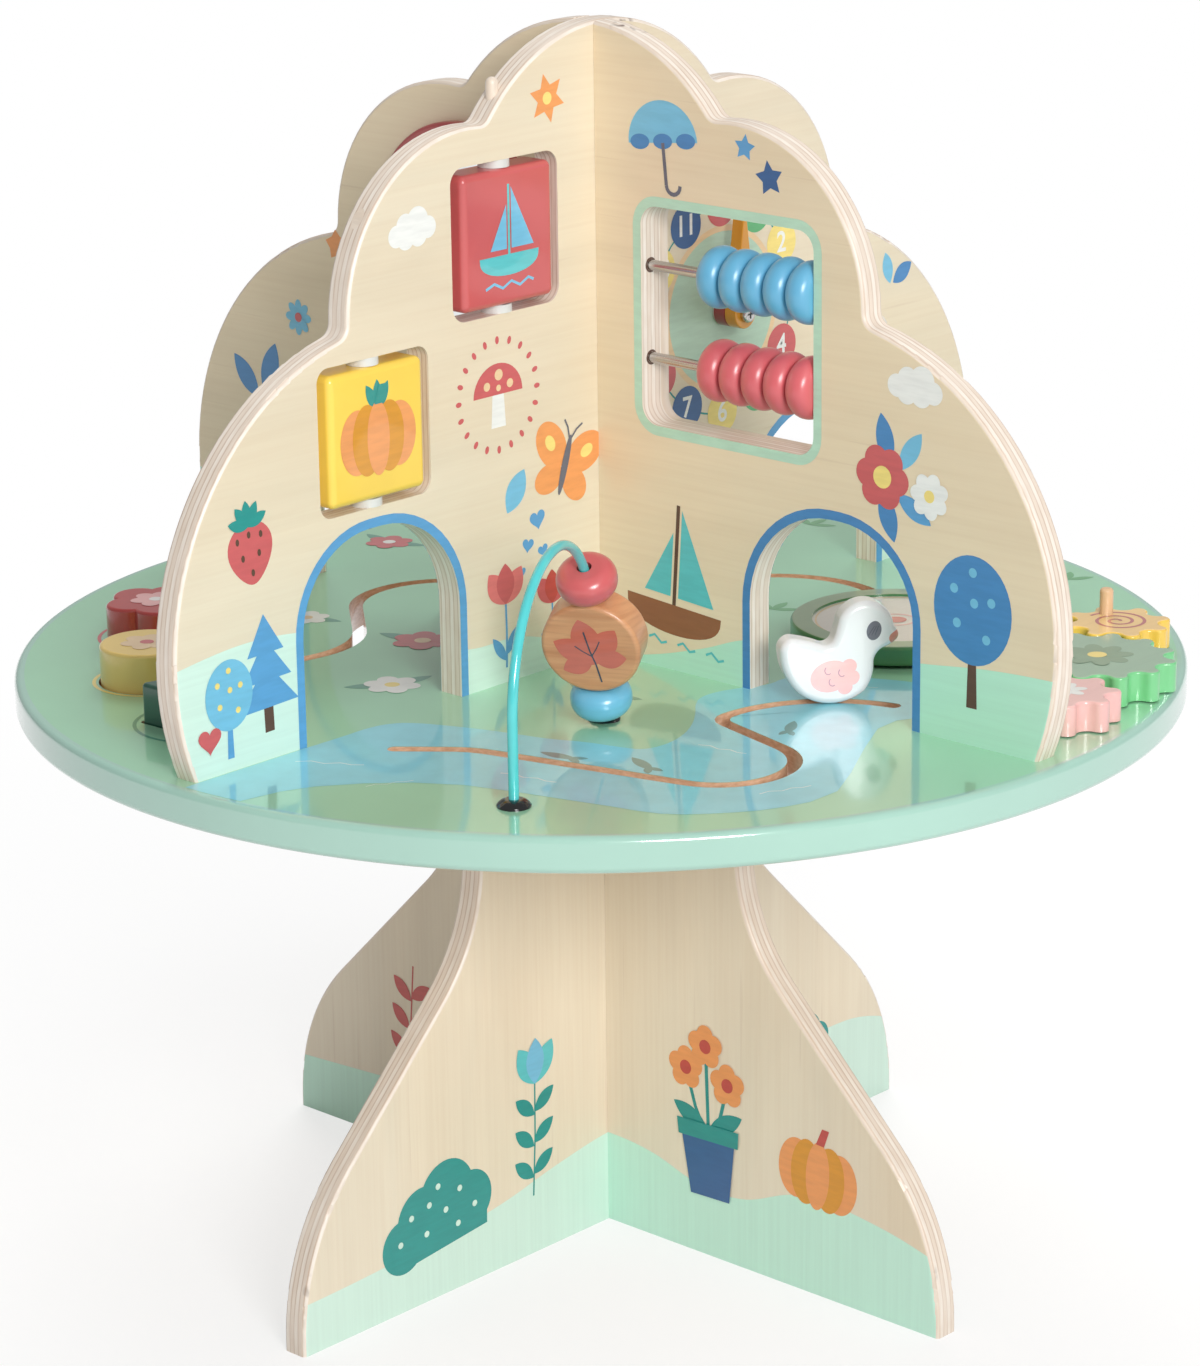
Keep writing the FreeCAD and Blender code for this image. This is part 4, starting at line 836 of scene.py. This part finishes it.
def rounded_path(corners, step=6.0):
    """Points along a slot's middle line, given as corners with the radius of each bend."""
    points = [Vector(corners[0][0])]
    for (before, _), (corner, radius), (after, _) in zip(corners, corners[1:], corners[2:]):
        here = Vector(corner)
        into = (here - Vector(before)).normalized()
        out = (Vector(after) - here).normalized()
        half_turn = into.angle(out) / 2
        centre = here + (out - into).normalized() * (radius / math.cos(half_turn))
        start = here - into * radius * math.tan(half_turn) - centre
        turn = 2 * half_turn * (1 if into.x * out.y - into.y * out.x > 0 else -1)
        count = max(2, int(abs(turn) * radius / 3.0))
        for k in range(count + 1):
            points.append(centre + Matrix.Rotation(turn * k / count, 2) @ start)
    points.append(Vector(corners[-1][0]))
    dense = [points[0]]
    for point in points[1:]:
        gap = (point - dense[-1]).length
        pieces = max(1, int(gap / step))
        dense += [dense[-1].lerp(point, k / pieces) for k in range(1, pieces + 1)] if gap > 0.01 else []
    return [tuple(point) for point in dense]


SLOT_HALF = 3.2
BIRD_SLOT = [((34.5, -158.0), 0.0), ((58.0, -138.5), 40.0), ((172.4, -108.9), 29.5),
             ((172.4, -62.0), 29.5), ((106.2, -45.8), 9.4), ((106.2, -38.4), 0.0)]


def bird_slot_path():
    sweep = arc(BIRD_RUN_RADIUS, BIRD_RUN_START, BIRD_RUN_END, 26, BIRD_RUN_MIDDLE)
    return rounded_path(BIRD_SLOT) + sweep[1:]


def beside(path, gap, side):
    """Points along one side of a round-ended slot, from the tip of one end to the tip of the other."""
    path = [Vector(point) for point in path]
    turns = (0, 0.4, 0.8, 1.2)
    points = []
    for i, point in enumerate(path):
        way = (path[min(i + 1, len(path) - 1)] - path[max(i - 1, 0)]).normalized()
        out = Vector((-way.y, way.x)) * side
        if i == 0:
            points += [point + (out * math.sin(a) - way * math.cos(a)) * gap for a in turns]
        points.append(point + out * gap)
        if i == len(path) - 1:
            points += [point + (out * math.sin(a) + way * math.cos(a)) * gap for a in turns[::-1]]
    return [tuple(point) for point in points]


def eased(points, rounds=2):
    """Line with its corners cut twice over, which leaves a smooth curve."""
    for _ in range(rounds):
        cut = [points[0]]
        for a, b in zip(points, points[1:]):
            cut.append((0.75 * a[0] + 0.25 * b[0], 0.75 * a[1] + 0.25 * b[1]))
            cut.append((0.25 * a[0] + 0.75 * b[0], 0.25 * a[1] + 0.75 * b[1]))
        points = cut + [points[-1]]
    return points


def panel_print(name, origin, right, slot="play_panel_wood"):
    return Print(name, origin, right, (0, 0, 1), "table", slot, glossy=False)


# Front-left wing, seen face, and the back-right wing with the clock
def print_panel_a_seen():
    p = panel_print("print_panel_a_seen", (PANEL_HALF, 0, 0), (0, 1, 0))
    arch_stripes(p, "light_blue", *ARCH_A)
    star(p.motif(-34, 505, 12), "orange", 10.5, 5.6, 6)
    p.oval("pale_yellow", 0, 0, 2.6)
    cloud(p.motif(-113, 462, 4), "white", 26)
    toadstool(p.motif(-66, 386, 0, 1.25), "coral", "peach", "white")
    for turn in range(0, 360, 18):
        p.motif(*on_circle(23, turn, (-66, 387)), turn)
        p.oval("coral", 0, 0, 1.7, 1.1, corners=14)
    butterfly(p.motif(-27, 350, -18, 1.75), "orange", "pale_yellow", "slate")
    p.motif(-57, 345)
    p.leaf("sky", -5, -9, 20, 11, 58)
    for x, y, turn, size in ((-44, 330, 8, 4.6), (-50, 320, -10, 3.4),
                             (-41, 316, 14, 3.0), (-54, 309, 6, 2.4)):
        heart_shape(p.motif(x, y, turn), "light_blue", size)
    strawberry(p.motif(-206, 353, 6, 1.35), "coral", "dark_brown", "teal")
    tulip(p.motif(-64, 270, 0, 1.25), "pink_coral", "coral", "light_blue", "light_blue", 24)
    tulip(p.motif(-36, 268, 0, 1.05), "coral", "red", "light_blue", "light_blue", 24.76)
    pine(p.motif(-199, 280, 2, 1.25), "light_blue", "dark_brown")
    round_tree(p.motif(-220, 269, 0, 1, 5), "sky", "pale_yellow", "light_blue")
    heart_shape(p.motif(-231, 279, 0, 1, 15), "coral", 6.0)
    print_clock(p)
    p.motif(188, 392)
    p.leaf("sky", 0, 0, 15, 7, 104)
    p.leaf("blue", 2, 0, 15, 8, 30)
    p.motif(150, 404, 8)
    p.leaf("light_blue", 0, 0, 22, 9, 62)
    p.leaf("blue", 3, -1, 20, 9, 118)
    p.leaf("deep_blue", 1, -2, 17, 7, 20)
    for reach in (12, 20, 28):
        gaps = 2 + reach // 6
        for i in range(gaps + 1):
            turn = 20 + 140 * i / gaps
            p.motif(*on_circle(reach, turn, (58, 462)), turn + 90)
            p.oval("white", 0, 0, 2.2, 0.55, corners=16)
    bush(p.motif(206, 292, 0, 0.8), "blue", "white")
    p.finish()


CLOCK_MIDDLE = (73.0, 399.6)
CLOCK_LINE = 45.7
CLOCK_COLOURS = ["coral", "green", "pale_yellow", "deep_blue"] * 3


def print_clock(p):
    """Dial: numbers in coloured discs on a thin line round a pale face, twelve at the top."""
    p.motif(*CLOCK_MIDDLE)
    p.ring("teal", 0, 0, CLOCK_LINE + 0.4, CLOCK_LINE - 0.4)
    p.oval("peach", 0, 0, 36.6, corners=96)
    p.oval("grey_mint", 0, 0, 33.9, corners=96)
    for hour in range(12):
        p.motif(*on_circle(CLOCK_LINE, 90 - 30 * hour, CLOCK_MIDDLE), level=3)
        p.oval(CLOCK_COLOURS[hour], 0, 0, 9.6, corners=48)
        p.numeral("white", str(hour or 12), 0, 0, 9.5)


def print_panel_a_hidden():
    p = panel_print("print_panel_a_hidden", (-PANEL_HALF, 0, 0), (0, -1, 0))
    arch_stripes(p, "light_blue", *ARCH_A)
    umbrella(p.motif(46, 372, 0, 1.3), "coral", "pale_yellow", "slate")
    cloud(p.motif(118, 462), "white", 24)
    star(p.motif(36, 508, 8), "orange", 8.5)
    pine(p.motif(205, 284, 0, 0.95), "blue", "dark_brown")
    round_tree(p.motif(64, 266, 0, 0.8), "teal", "white", "brown")
    daisy(p.motif(-60, 480), "coral", "pale_yellow", 7, 10)
    butterfly(p.motif(-118, 452, 14, 1.2), "sky", "white", "slate")
    bush(p.motif(-60, 306, 0, 1.15), "teal", "pale_yellow")
    toadstool(p.motif(-206, 300, 0, 1.2), "red", "white", "peach")
    daisy(p.motif(-42, 420), "white", "yellow", 8, 9)
    cloud(p.motif(-150, 392), "white", 26)
    strawberry(p.motif(-198, 352, -8), "coral", "dark_brown", "teal")
    p.motif(-90, 400)
    p.leaf("blue", 0, 0, 16, 7, 70)
    p.leaf("sky", 2, -2, 14, 6, 20)
    p.finish()


WINDOW_WALLS = (31.2, 124.1)
ROD_HEIGHTS = (395.0, 434.0)


def print_panel_b_seen():
    """Front-right wing with the bead window, and the back-left wing with the mirror."""
    p = panel_print("print_panel_b_seen", (0, -PANEL_HALF, 0), (1, 0, 0))
    arch_stripes(p, "blue", *ARCH_B)
    window_border(p)
    umbrella(p.motif(44, 487, 6, 1.45), "sky", "blue", "slate")
    star(p.motif(101, 479, 10), "deep_blue", 7.4, 3.9)
    star(p.motif(88, 490, -6), "light_blue", 5.6, 2.9)
    cloud(p.motif(176, 404, -3), "white", 27)
    p.motif(160, 366, -6)
    p.leaf("blue", 3, 5, 22, 9, 108)
    p.leaf("sky", 8, 5, 20, 8, 62)
    p.leaf("blue", 0, -5, 22, 9, -66)
    p.leaf("light_blue", 8, -5, 20, 8, -24)
    for turn in range(0, 360, 60):
        p.oval("coral", *on_circle(7.4, turn), 6.0, corners=24)
    p.oval("pale_yellow", 0, 0, 4.6)
    daisy(p.motif(184, 362, 20, 1, 12), "white", "pale_yellow", 7, 9.5, 0.6)
    round_tree(p.motif(206, 279, 0, 1.55), "blue", "sky", "dark_brown")
    sailing_boat(p.motif(48, 292, -4, 1.75), "brown", "turquoise", "turquoise", "dark_brown")
    p.motif(48, 292, -4)
    for x in (-24, -8, 8, 24):
        p.stroke("turquoise", [(x - 5, -17), (x - 2, -15.4), (x + 2, -18.2), (x + 5, -17)], 1.1)
    p.motif(-200, 345)
    p.leaf("blue", 0, 0, 26, 11, 72)
    p.leaf("blue", -4, -2, 24, 10, 130)
    p.leaf("sky", 2, -2, 18, 8, 30)
    daisy(p.motif(-176, 384), "sky", "coral", 8, 8)
    star(p.motif(-150, 420, 5), "orange", 7.0)
    bush(p.motif(-206, 300, 0, 0.75), "teal", "white")
    sprig(p.motif(-48, 272), "teal", "teal", 36)
    rain(p.motif(-28, 372), "blue")
    p.finish()


def window_border(p):
    """Mint line round the bead window."""
    near, far = WINDOW_WALLS
    low, high, radius = 368.0, 460.2, 8.5
    points = []
    for x, z, start in ((far - radius, low + radius, -90), (far - radius, high - radius, 0),
                        (near + radius, high - radius, 90), (near + radius, low + radius, 180)):
        points += arc(radius, start, start + 90, 8, (x, z))
    p.motif()
    p.ribbon("window_mint", points, 0.0, -4.2, closed=True)


def print_rod_holes():
    """Painted shade: dark brown rings round the holes that hold the bead rods, on both side walls of the
    window, where shade falls in the gap round each rod.
    """
    for end, wall, way in (("near", WINDOW_WALLS[0], 1), ("far", WINDOW_WALLS[1], -1)):
        p = panel_print("print_rod_holes_" + end, (wall, 0, 0), (0, way, 0))
        for height in ROD_HEIGHTS:
            p.motif(0, height)
            # painted shade in the gap between the rod and its hole
            p.ring("dark_brown", 0, 0, 3.2, 2.3, 40)
        p.finish()


def print_panel_b_hidden():
    p = panel_print("print_panel_b_hidden", (0, PANEL_HALF, 0), (-1, 0, 0))
    arch_stripes(p, "blue", *ARCH_B)
    daisy(p.motif(-176, 374, 12), "orange", "pale_yellow", 8, 9)
    pine(p.motif(-203, 286, 0, 0.9), "teal", "dark_brown")
    cloud(p.motif(-140, 424), "white", 24)
    tulip(p.motif(-52, 270, 0, 1.2), "coral", "red", "teal", "teal", 25)
    tulip(p.motif(-28, 266), "orange", "coral", "teal", "teal", 24)
    cloud(p.motif(46, 486), "white", 28)
    rain(p.motif(46, 472), "sky")
    flower_pot(p.motif(50, 368, 0, 1.5), "coral", "red", "pale_yellow", "orange", "teal")
    butterfly(p.motif(118, 452, -12, 1.3), "turquoise", "white", "slate")
    round_tree(p.motif(208, 284, 0, 1.1), "teal", "pale_yellow", "brown")
    sprig(p.motif(62, 270), "blue", "sky", 34)
    p.finish()


def print_legs():
    p = panel_print("print_leg_a_seen", (PANEL_HALF, 0, 0), (0, 1, 0), "leg_panel_wood")
    bush(p.motif(-114, 35, 6, 1.55), "teal", "pale_mint")
    sprig(p.motif(-54, 27, -2), "teal", "teal", 56, 15)
    p.motif(-54, 27, -2, 1, 9)
    for lean in (-30, 30, 0):
        p.leaf("turquoise" if lean else "sky", 0, 52, 21, 11, 90 + lean)
    bush(p.motif(126, 42, 0, 0.9), "teal", "white")
    p.finish()
    p = panel_print("print_leg_a_hidden", (-PANEL_HALF, 0, 0), (0, -1, 0), "leg_panel_wood")
    pumpkin(p.motif(112, 44, 0, 1.1), "orange", "amber", "teal")
    sprig(p.motif(50, 36), "teal", "teal", 44, 14)
    flower_pot(p.motif(-90, 46, 0, 1.3), "deep_blue", "sky", "coral", "pale_yellow", "teal")
    p.finish()
    p = panel_print("print_leg_b_seen", (0, -PANEL_HALF, 0), (1, 0, 0), "leg_panel_wood")
    flower_pot(p.motif(66, 43, 2, 1.7), "deep_blue", "teal", "orange", "red", "teal")
    pumpkin(p.motif(127, 55, -4, 1.6), "orange", "amber", "red")
    sprig(p.motif(-120, 36, -6), "red", "red", 54, 15)
    p.finish()
    p = panel_print("print_leg_b_hidden", (0, PANEL_HALF, 0), (-1, 0, 0), "leg_panel_wood")
    bush(p.motif(104, 42, 0, 1.2), "teal", "pale_yellow")
    tulip(p.motif(52, 36, 0, 1.4), "coral", "red", "teal", "teal", 31.43)
    toadstool(p.motif(-96, 46, 0, 1.5), "coral", "white", "peach")
    p.finish()


# Banks of the stream, from the table's front to its end among the flowers
UPPER_BANK = [(6.5, -181), (7, -160), (6.5, -147), (8.5, -137), (15, -129), (35, -120),
              (56, -113), (72, -109), (86, -102), (102, -98), (110.6, -94.5), (113, -84),
              (110.5, -71), (103.5, -57), (94, -44.5), (87, -37), (81.5, -28), (81.5, -18),
              (85.5, -7), (92, 4), (90, 16), (100, 30), (120, 39.5), (138, 47),
              (158, 48), (174, 40), (180, 28), (176, 16)]
LOWER_BANK = [(6.5, -245.1), (16, -244.7), (26, -243.8), (35.2, -242.6), (38.5, -224.6), (44, -212),
              (56, -196.4), (70, -183.2), (87, -172.5), (107, -165.7), (127, -160.2),
              (147.5, -154.3), (158.1, -151.8), (168, -148.4), (175.7, -143), (182.4, -136.1),
              (188.6, -128.8), (194.3, -120.8), (199, -110.8), (202.3, -100.8), (202, -84),
              (192, -64), (176, -36), (164, -13), (163, 0), (168, 10), (176, 16)]
# Lift-out shapes: middle, reach and colour of the ring in the socket, and colours of the flower on top
SHAPES = (("red", on_circle(194.0, 215.8), 26.0, "coral", ("pink", "white")),
          ("yellow", on_circle(194.5, 235.1), 23.6, "pale_yellow", ("peach", "coral")),
          ("green", on_circle(191.9, 254.6), 27.5, "leaf_teal", ("green", "pale_yellow")))


def print_tabletop():
    """Meadow on the round top: a broad stream along the bird's slot, flowers and leaves."""
    p = Print("print_tabletop", (0, 0, TABLE_TOP), (1, 0, 0), (0, 1, 0), "table", "tabletop_wood")
    path = bird_slot_path()
    p.motif()
    p.patch("river", beside(path, SLOT_HALF, 1) + eased(UPPER_BANK)[::-1])
    p.motif()
    p.patch("river", beside(path, SLOT_HALF, -1) + LOWER_BANK[::-1] + UPPER_BANK[:1])
    for x, y, turn, size in ((100, -150, 12, 0.9), (64, -190, 62, 0.7), (28, -188, 30, 1.0),
                             (186, -96, 66, 0.8), (134, -74, 8, 0.8), (120, 26, 20, 0.7)):
        p.motif(x, y, turn, size, 1)
        p.stroke("white", [(-14, 0), (-8, 1.8), (-2, -0.4), (4, 1.6), (9, 0), (14, 0.8)], 0.55)
    for x, y, turn, size in ((90, -122, 8, 1.0), (122, -108, -22, 1.0), (136, -34, -60, 0.9)):
        p.motif(x, y, turn, size, 1)
        p.leaf("lily", -9, 0, 18, 5.4, 0)
        p.leaf("lily", 5, 0, 8, 3.4, 24)
        p.leaf("lily", 5, 0, 8, 3.4, -24)
    for x, y, turn, petals, heart, size in (
            (47, -52, 0, "white", "pale_yellow", 1.15), (-64, -44, 10, "coral", "peach", 1.35),
            (-28, -98, 30, "white", "pale_yellow", 1.2), (-128, -52, 0, "white", "peach", 1.0),
            (-60, 150, 0, "coral", "pale_yellow", 1.4), (-140, 120, 0, "white", "pale_yellow", 1.3),
            (40, 190, 0, "pink", "white", 1.3), (-216, -40, 0, "pink", "white", 1.2),
            (140, 168, 20, "mauve", "pale_yellow", 1.2), (-190, 60, 0, "coral", "white", 1.1)):
        p.motif(x, y, turn, size)
        p.leaf("leaf_teal", 0, 0, 17, 5.5, turn + 20)
        p.leaf("leaf_teal", 0, 0, 17, 5.5, turn + 170)
        daisy(p, petals, heart, 6, 10.0, 0.62)
    for x, y, turn in ((60, 100, 20), (-20, -210, 70), (-60, 210, 10), (90, 212, 40),
                       (-96, 186, 80), (20, 90, 20), (-236, 10, 30)):
        p.motif(x, y, turn)
        p.leaf("leaf_green", 0, 0, 13, 4.5, 20)
        p.leaf("leaf_green", 0, 0, 13, 4.5, 80)
        p.leaf("leaf_green", 0, 0, 13, 4.5, 140)
    for _, middle, reach, ring_ink, _ in SHAPES:
        p.motif(*middle)
        p.ring(ring_ink, 0, 0, reach, reach - 1.6)
    p.finish()


# Prints on the moving pieces
def print_on(name, node, origin, draw, right=(1, 0, 0), up=(0, 1, 0)):
    p = Print(name, origin, right, up, frame["nodes"][node]["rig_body"], NODE_SLOT[node])
    draw(p)
    p.finish()


def red_block_motif(p):
    sailing_boat(p.motif(0, -7, 0, 1.15), "turquoise", "sky", "sky", "turquoise")
    p.motif(0, -20)
    p.stroke("sky", [(-14, 0), (-9, 1.8), (-4, -0.6), (1, 1.8), (6, -0.6), (11, 1.8), (14, 0.4)], 1.2)


def yellow_block_motif(p):
    p.motif(0, -2)
    for turn in (62, 90, 118):
        p.leaf("teal", 0, 11, 13, 5, turn)
    pumpkin(p.motif(0, -2, 0, 1.55, 3), "orange", "amber", "teal")


BLOCKS = (("red", (0, -59.85, 452.1), red_block_motif), ("yellow", (0, -136.7, 384.85), yellow_block_motif))


def print_blocks():
    for colour, (x, y, z), motif in BLOCKS:
        for side, face in ((1, "front"), (-1, "back")):
            print_on("print_%s_block_%s" % (colour, face), "turning_block_" + colour,
                     (x + side * BLOCK_HALF, y, z), motif, (0, side, 0), (0, 0, 1))


GEAR_TOP = TABLE_TOP + 13.1
GEARS = (("yellow", (172.4, 137.3), lambda p: swirl(p.motif(0, 0, 40), "plum")),
         ("pink", (214.3, 43.8), lambda p: daisy(p, "white", "coral", 7, 9.5)),
         ("green", (195.5, 91.5), lambda p: daisy(p, "sage", "pale_yellow", 8, 15.0)))


def print_gears():
    for colour, middle, motif in GEARS:
        print_on("print_%s_gear" % colour, "gear_" + colour, (*middle, GEAR_TOP), motif)


INLAY_TOP = TABLE_TOP + 8.6


def inlay_motif(p):
    p.ring("peach", 0, 0, 35.0, 34.2, 96)
    p.ring("pink", 0, 0, 9.0, 7.8)
    p.oval("coral", 0, 0, 4.5)


def print_spinner():
    print_on("print_spinner", "spinner_inlay", (90, 90, INLAY_TOP), inlay_motif)


def bird_motif(p, facing):
    """Eye with fine dark lines, and a wing with a few feathers."""
    p.oval("slate", 15.6 * facing, 30.3, 3.1, 4.1, -12 * facing)
    for lean in (-1.4, 0.0, 1.4):
        p.stroke("slate_line", [((14.6 + lean) * facing, 28.4), ((16.6 + lean * 0.6) * facing, 32.2)], 0.25)
    p.motif()
    p.oval("pink", -2.6 * facing, 12.0, 8.6, 6.6, 12 * facing)
    for x, y in ((5.2, 15.8), (6.4, 11.0), (3.4, 7.2)):
        p.oval("pink", x * facing, y, 3.2, corners=24)
    for x, y in ((-3.6, 14.6), (2.2, 13.4), (-1.8, 9.6)):
        p.stroke("mauve", [((x + 1.5 * u) * facing, y + 1.7 * v) for u, v in arc(1.0, 130, 310, 9)], 0.45)


def hedgehog_motif(p, facing):
    """Snout, eye and rows of bristles."""
    p.oval("peach", 18.0 * facing, 8.6, 4.4, 3.6, 8 * facing)
    p.oval("dark_brown", 15.6 * facing, 11.0, 1.2, 1.4)
    for row, (y, start, end) in enumerate(((6, -15, 9), (11, -16, 8), (16, -13, 6), (20.0, -8, 2))):
        for x in range(start + (row % 2) * 2, end, 4):
            p.leaf("dark_brown", x * facing, y, 3.4, 1.5, 90 + 38 * facing)


FIGURE_FOOT = TABLE_TOP + 0.5
FIGURES = (("bird", BIRD_XY, BIRD_TURN, bird_motif),
           ("hedgehog", HEDGEHOG_XY, HEDGEHOG_TURN, hedgehog_motif))


def print_figures():
    for name, middle, turn, motif in FIGURES:
        along = Vector((*on_circle(1.0, turn), 0))
        across = Vector((-along.y, along.x, 0))
        for side, face in ((-1, "near"), (1, "far")):
            print_on("print_%s_%s" % (name, face), name + "_figure",
                     Vector((*middle, FIGURE_FOOT)) + across * FIGURE_HALF * side,
                     lambda p: motif(p, -side), along * -side, (0, 0, 1))


# Wooden disc on the wire
DISC_MIDDLE = Vector((75.825, -84.780, 300.460))
DISC_FACING = Vector((0.4549, -0.8469, -0.2752)).normalized()
DISC_UP = Vector((0.1167, -0.2497, 0.9613)).normalized()


def disc_motif(p):
    """Painted maple leaf."""
    p.motif(0, -1, 14)
    for turn, reach, wide in ((90, 19, 12), (40, 17.5, 10.5), (140, 17.5, 10.5), (-10, 14, 9), (190, 14, 9)):
        p.leaf("brick", 0, -3.5, reach, wide, turn)
    p.oval("brick", 0, -0.5, 6.4, 5.6)
    p.stroke("slate_line", [(0, -14.5), (0.4, -6), (0, 0.5), (0.3, 9.5)], 0.7)
    p.stroke("slate_line", [(0, -2), (3.2, 1.2), (5.4, 4.0)], 0.5)
    p.stroke("slate_line", [(0, -2), (-3.2, 1.2), (-5.4, 4.0)], 0.5)


def print_disc():
    for facing, face in ((DISC_FACING, "near"), (-DISC_FACING, "far")):
        print_on("print_wood_disc_" + face, "wire_wood_disc", DISC_MIDDLE + facing * DISC_HALF, disc_motif,
                 DISC_UP.cross(facing), DISC_UP)


SHAPE_TOP = TABLE_TOP + 16.7


def print_shapes():
    for colour, middle, _, _, inks in SHAPES:
        print_on("print_%s_shape" % colour, "shape_block_" + colour, (*middle, SHAPE_TOP),
                 lambda p: daisy(p, *inks, 6, 11.0, 0.6))


for make_prints in (print_panel_a_seen, print_panel_a_hidden, print_panel_b_seen, print_panel_b_hidden,
                    print_rod_holes, print_legs, print_tabletop, print_blocks, print_gears, print_spinner,
                    print_figures, print_disc, print_shapes):
    make_prints()


# Floor, lights and camera, with places and sizes in metres
FLOOR_REACH = 14.0
SKY_STRENGTH = 0.34
LIT_POINT = Vector((0, 0, 0.3))
# Camera as solved from the photograph. Focal length and photograph are in pixels, the roll is in degrees.
# The sensor's width lies along the photograph's longer side, which is its height.
CAMERA_PLACE = Vector((1.21486, -1.30418, 0.79843))
CAMERA_AIM = Vector((0, 0, 0.251254))
FOCAL_LENGTH = 4334.114
PHOTO_HEIGHT = 1366
CAMERA_ROLL = -0.781
SENSOR_WIDTH = 36


def floor_and_sky():
    """Wide white studio floor, white where it is looked at, and even light from all round."""
    bm = bmesh.new()
    bmesh.ops.create_circle(bm, cap_ends=True, radius=FLOOR_REACH, segments=96)
    mesh = bpy.data.meshes.new("studio_floor")
    bm.to_mesh(mesh)
    bm.free()
    floor = bpy.data.objects.new("studio_floor", mesh)
    f = Finish("studio_paper", 0.95)
    f.shader.inputs["Specular IOR Level"].default_value = 0.0
    path = f.node("LightPath")
    second_hand = f.maths("MAXIMUM", path.outputs["Is Glossy Ray"], path.outputs["Is Transmission Ray"])
    looked_at = f.maths("MAXIMUM", path.outputs["Is Camera Ray"], second_hand)
    tone = f.mottle(3.0, 1.0)
    paper = f.blend(tone, (0.60, 0.60, 0.60, 1), (0.62, 0.62, 0.62, 1))
    mesh.materials.append(f.coloured(f.blend(looked_at, paper, (0.98, 0.98, 0.98, 1))))
    white = f.node("Emission", Color=(1.0, 1.0, 1.0, 1.0), Strength=1.0)
    whiter = f.between(f.from_middle(), 0.3, 0.9, 0.68, 1.0)
    mixed = f.node("MixShader")
    parts = (f.maths("MULTIPLY", looked_at, whiter), f.shader.outputs[0], white.outputs[0])
    for socket, part in zip(mixed.inputs, parts):
        f.feed(socket, part)
    f.feed(f.tree.nodes["Material Output"].inputs["Surface"], mixed.outputs[0])
    bpy.context.scene.collection.objects.link(floor)
    world = bpy.data.worlds.new("studio_light")
    world.use_nodes = True
    light = world.node_tree.nodes["Background"]
    light.inputs["Color"].default_value = (1.0, 1.0, 1.0, 1.0)
    light.inputs["Strength"].default_value = SKY_STRENGTH
    bpy.context.scene.world = world


def lamp(name, place, size, power, in_gloss=False):
    """Round lamp that faces the table; in_gloss lets it show in reflections."""
    data = bpy.data.lights.new(name, "AREA")
    data.shape = "DISK"
    data.size = size
    data.energy = power
    holder = bpy.data.objects.new(name, data)
    holder.location = place
    holder.rotation_euler = (LIT_POINT - Vector(place)).to_track_quat("-Z", "Y").to_euler()
    holder.visible_glossy = in_gloss
    bpy.context.scene.collection.objects.link(holder)


def camera():
    """Stands where the photograph was taken from, with its small roll and shift."""
    data = bpy.data.cameras.new("camera")
    data.lens = FOCAL_LENGTH / PHOTO_HEIGHT * SENSOR_WIDTH
    data.sensor_width = SENSOR_WIDTH
    data.shift_x = -0.0007
    data.shift_y = -0.0072
    data.clip_end = 60
    holder = bpy.data.objects.new("camera", data)
    turn = (CAMERA_AIM - CAMERA_PLACE).to_track_quat("-Z", "Y").to_matrix().to_4x4()
    roll = Matrix.Rotation(math.radians(CAMERA_ROLL), 4, "Z")
    holder.matrix_world = Matrix.Translation(CAMERA_PLACE) @ turn @ roll
    bpy.context.scene.collection.objects.link(holder)
    bpy.context.scene.camera = holder


floor_and_sky()
lamp("key_light", (2.77, -1.60, 1.46), 1.2, 75, True)
lamp("soft_light", (1.71, -0.56, 3.18), 2.2, 26)
lamp("back_light", (-1.55, 1.84, 2.70), 2.2, 66)
camera()
bpy.context.scene.view_settings.view_transform = "Standard"
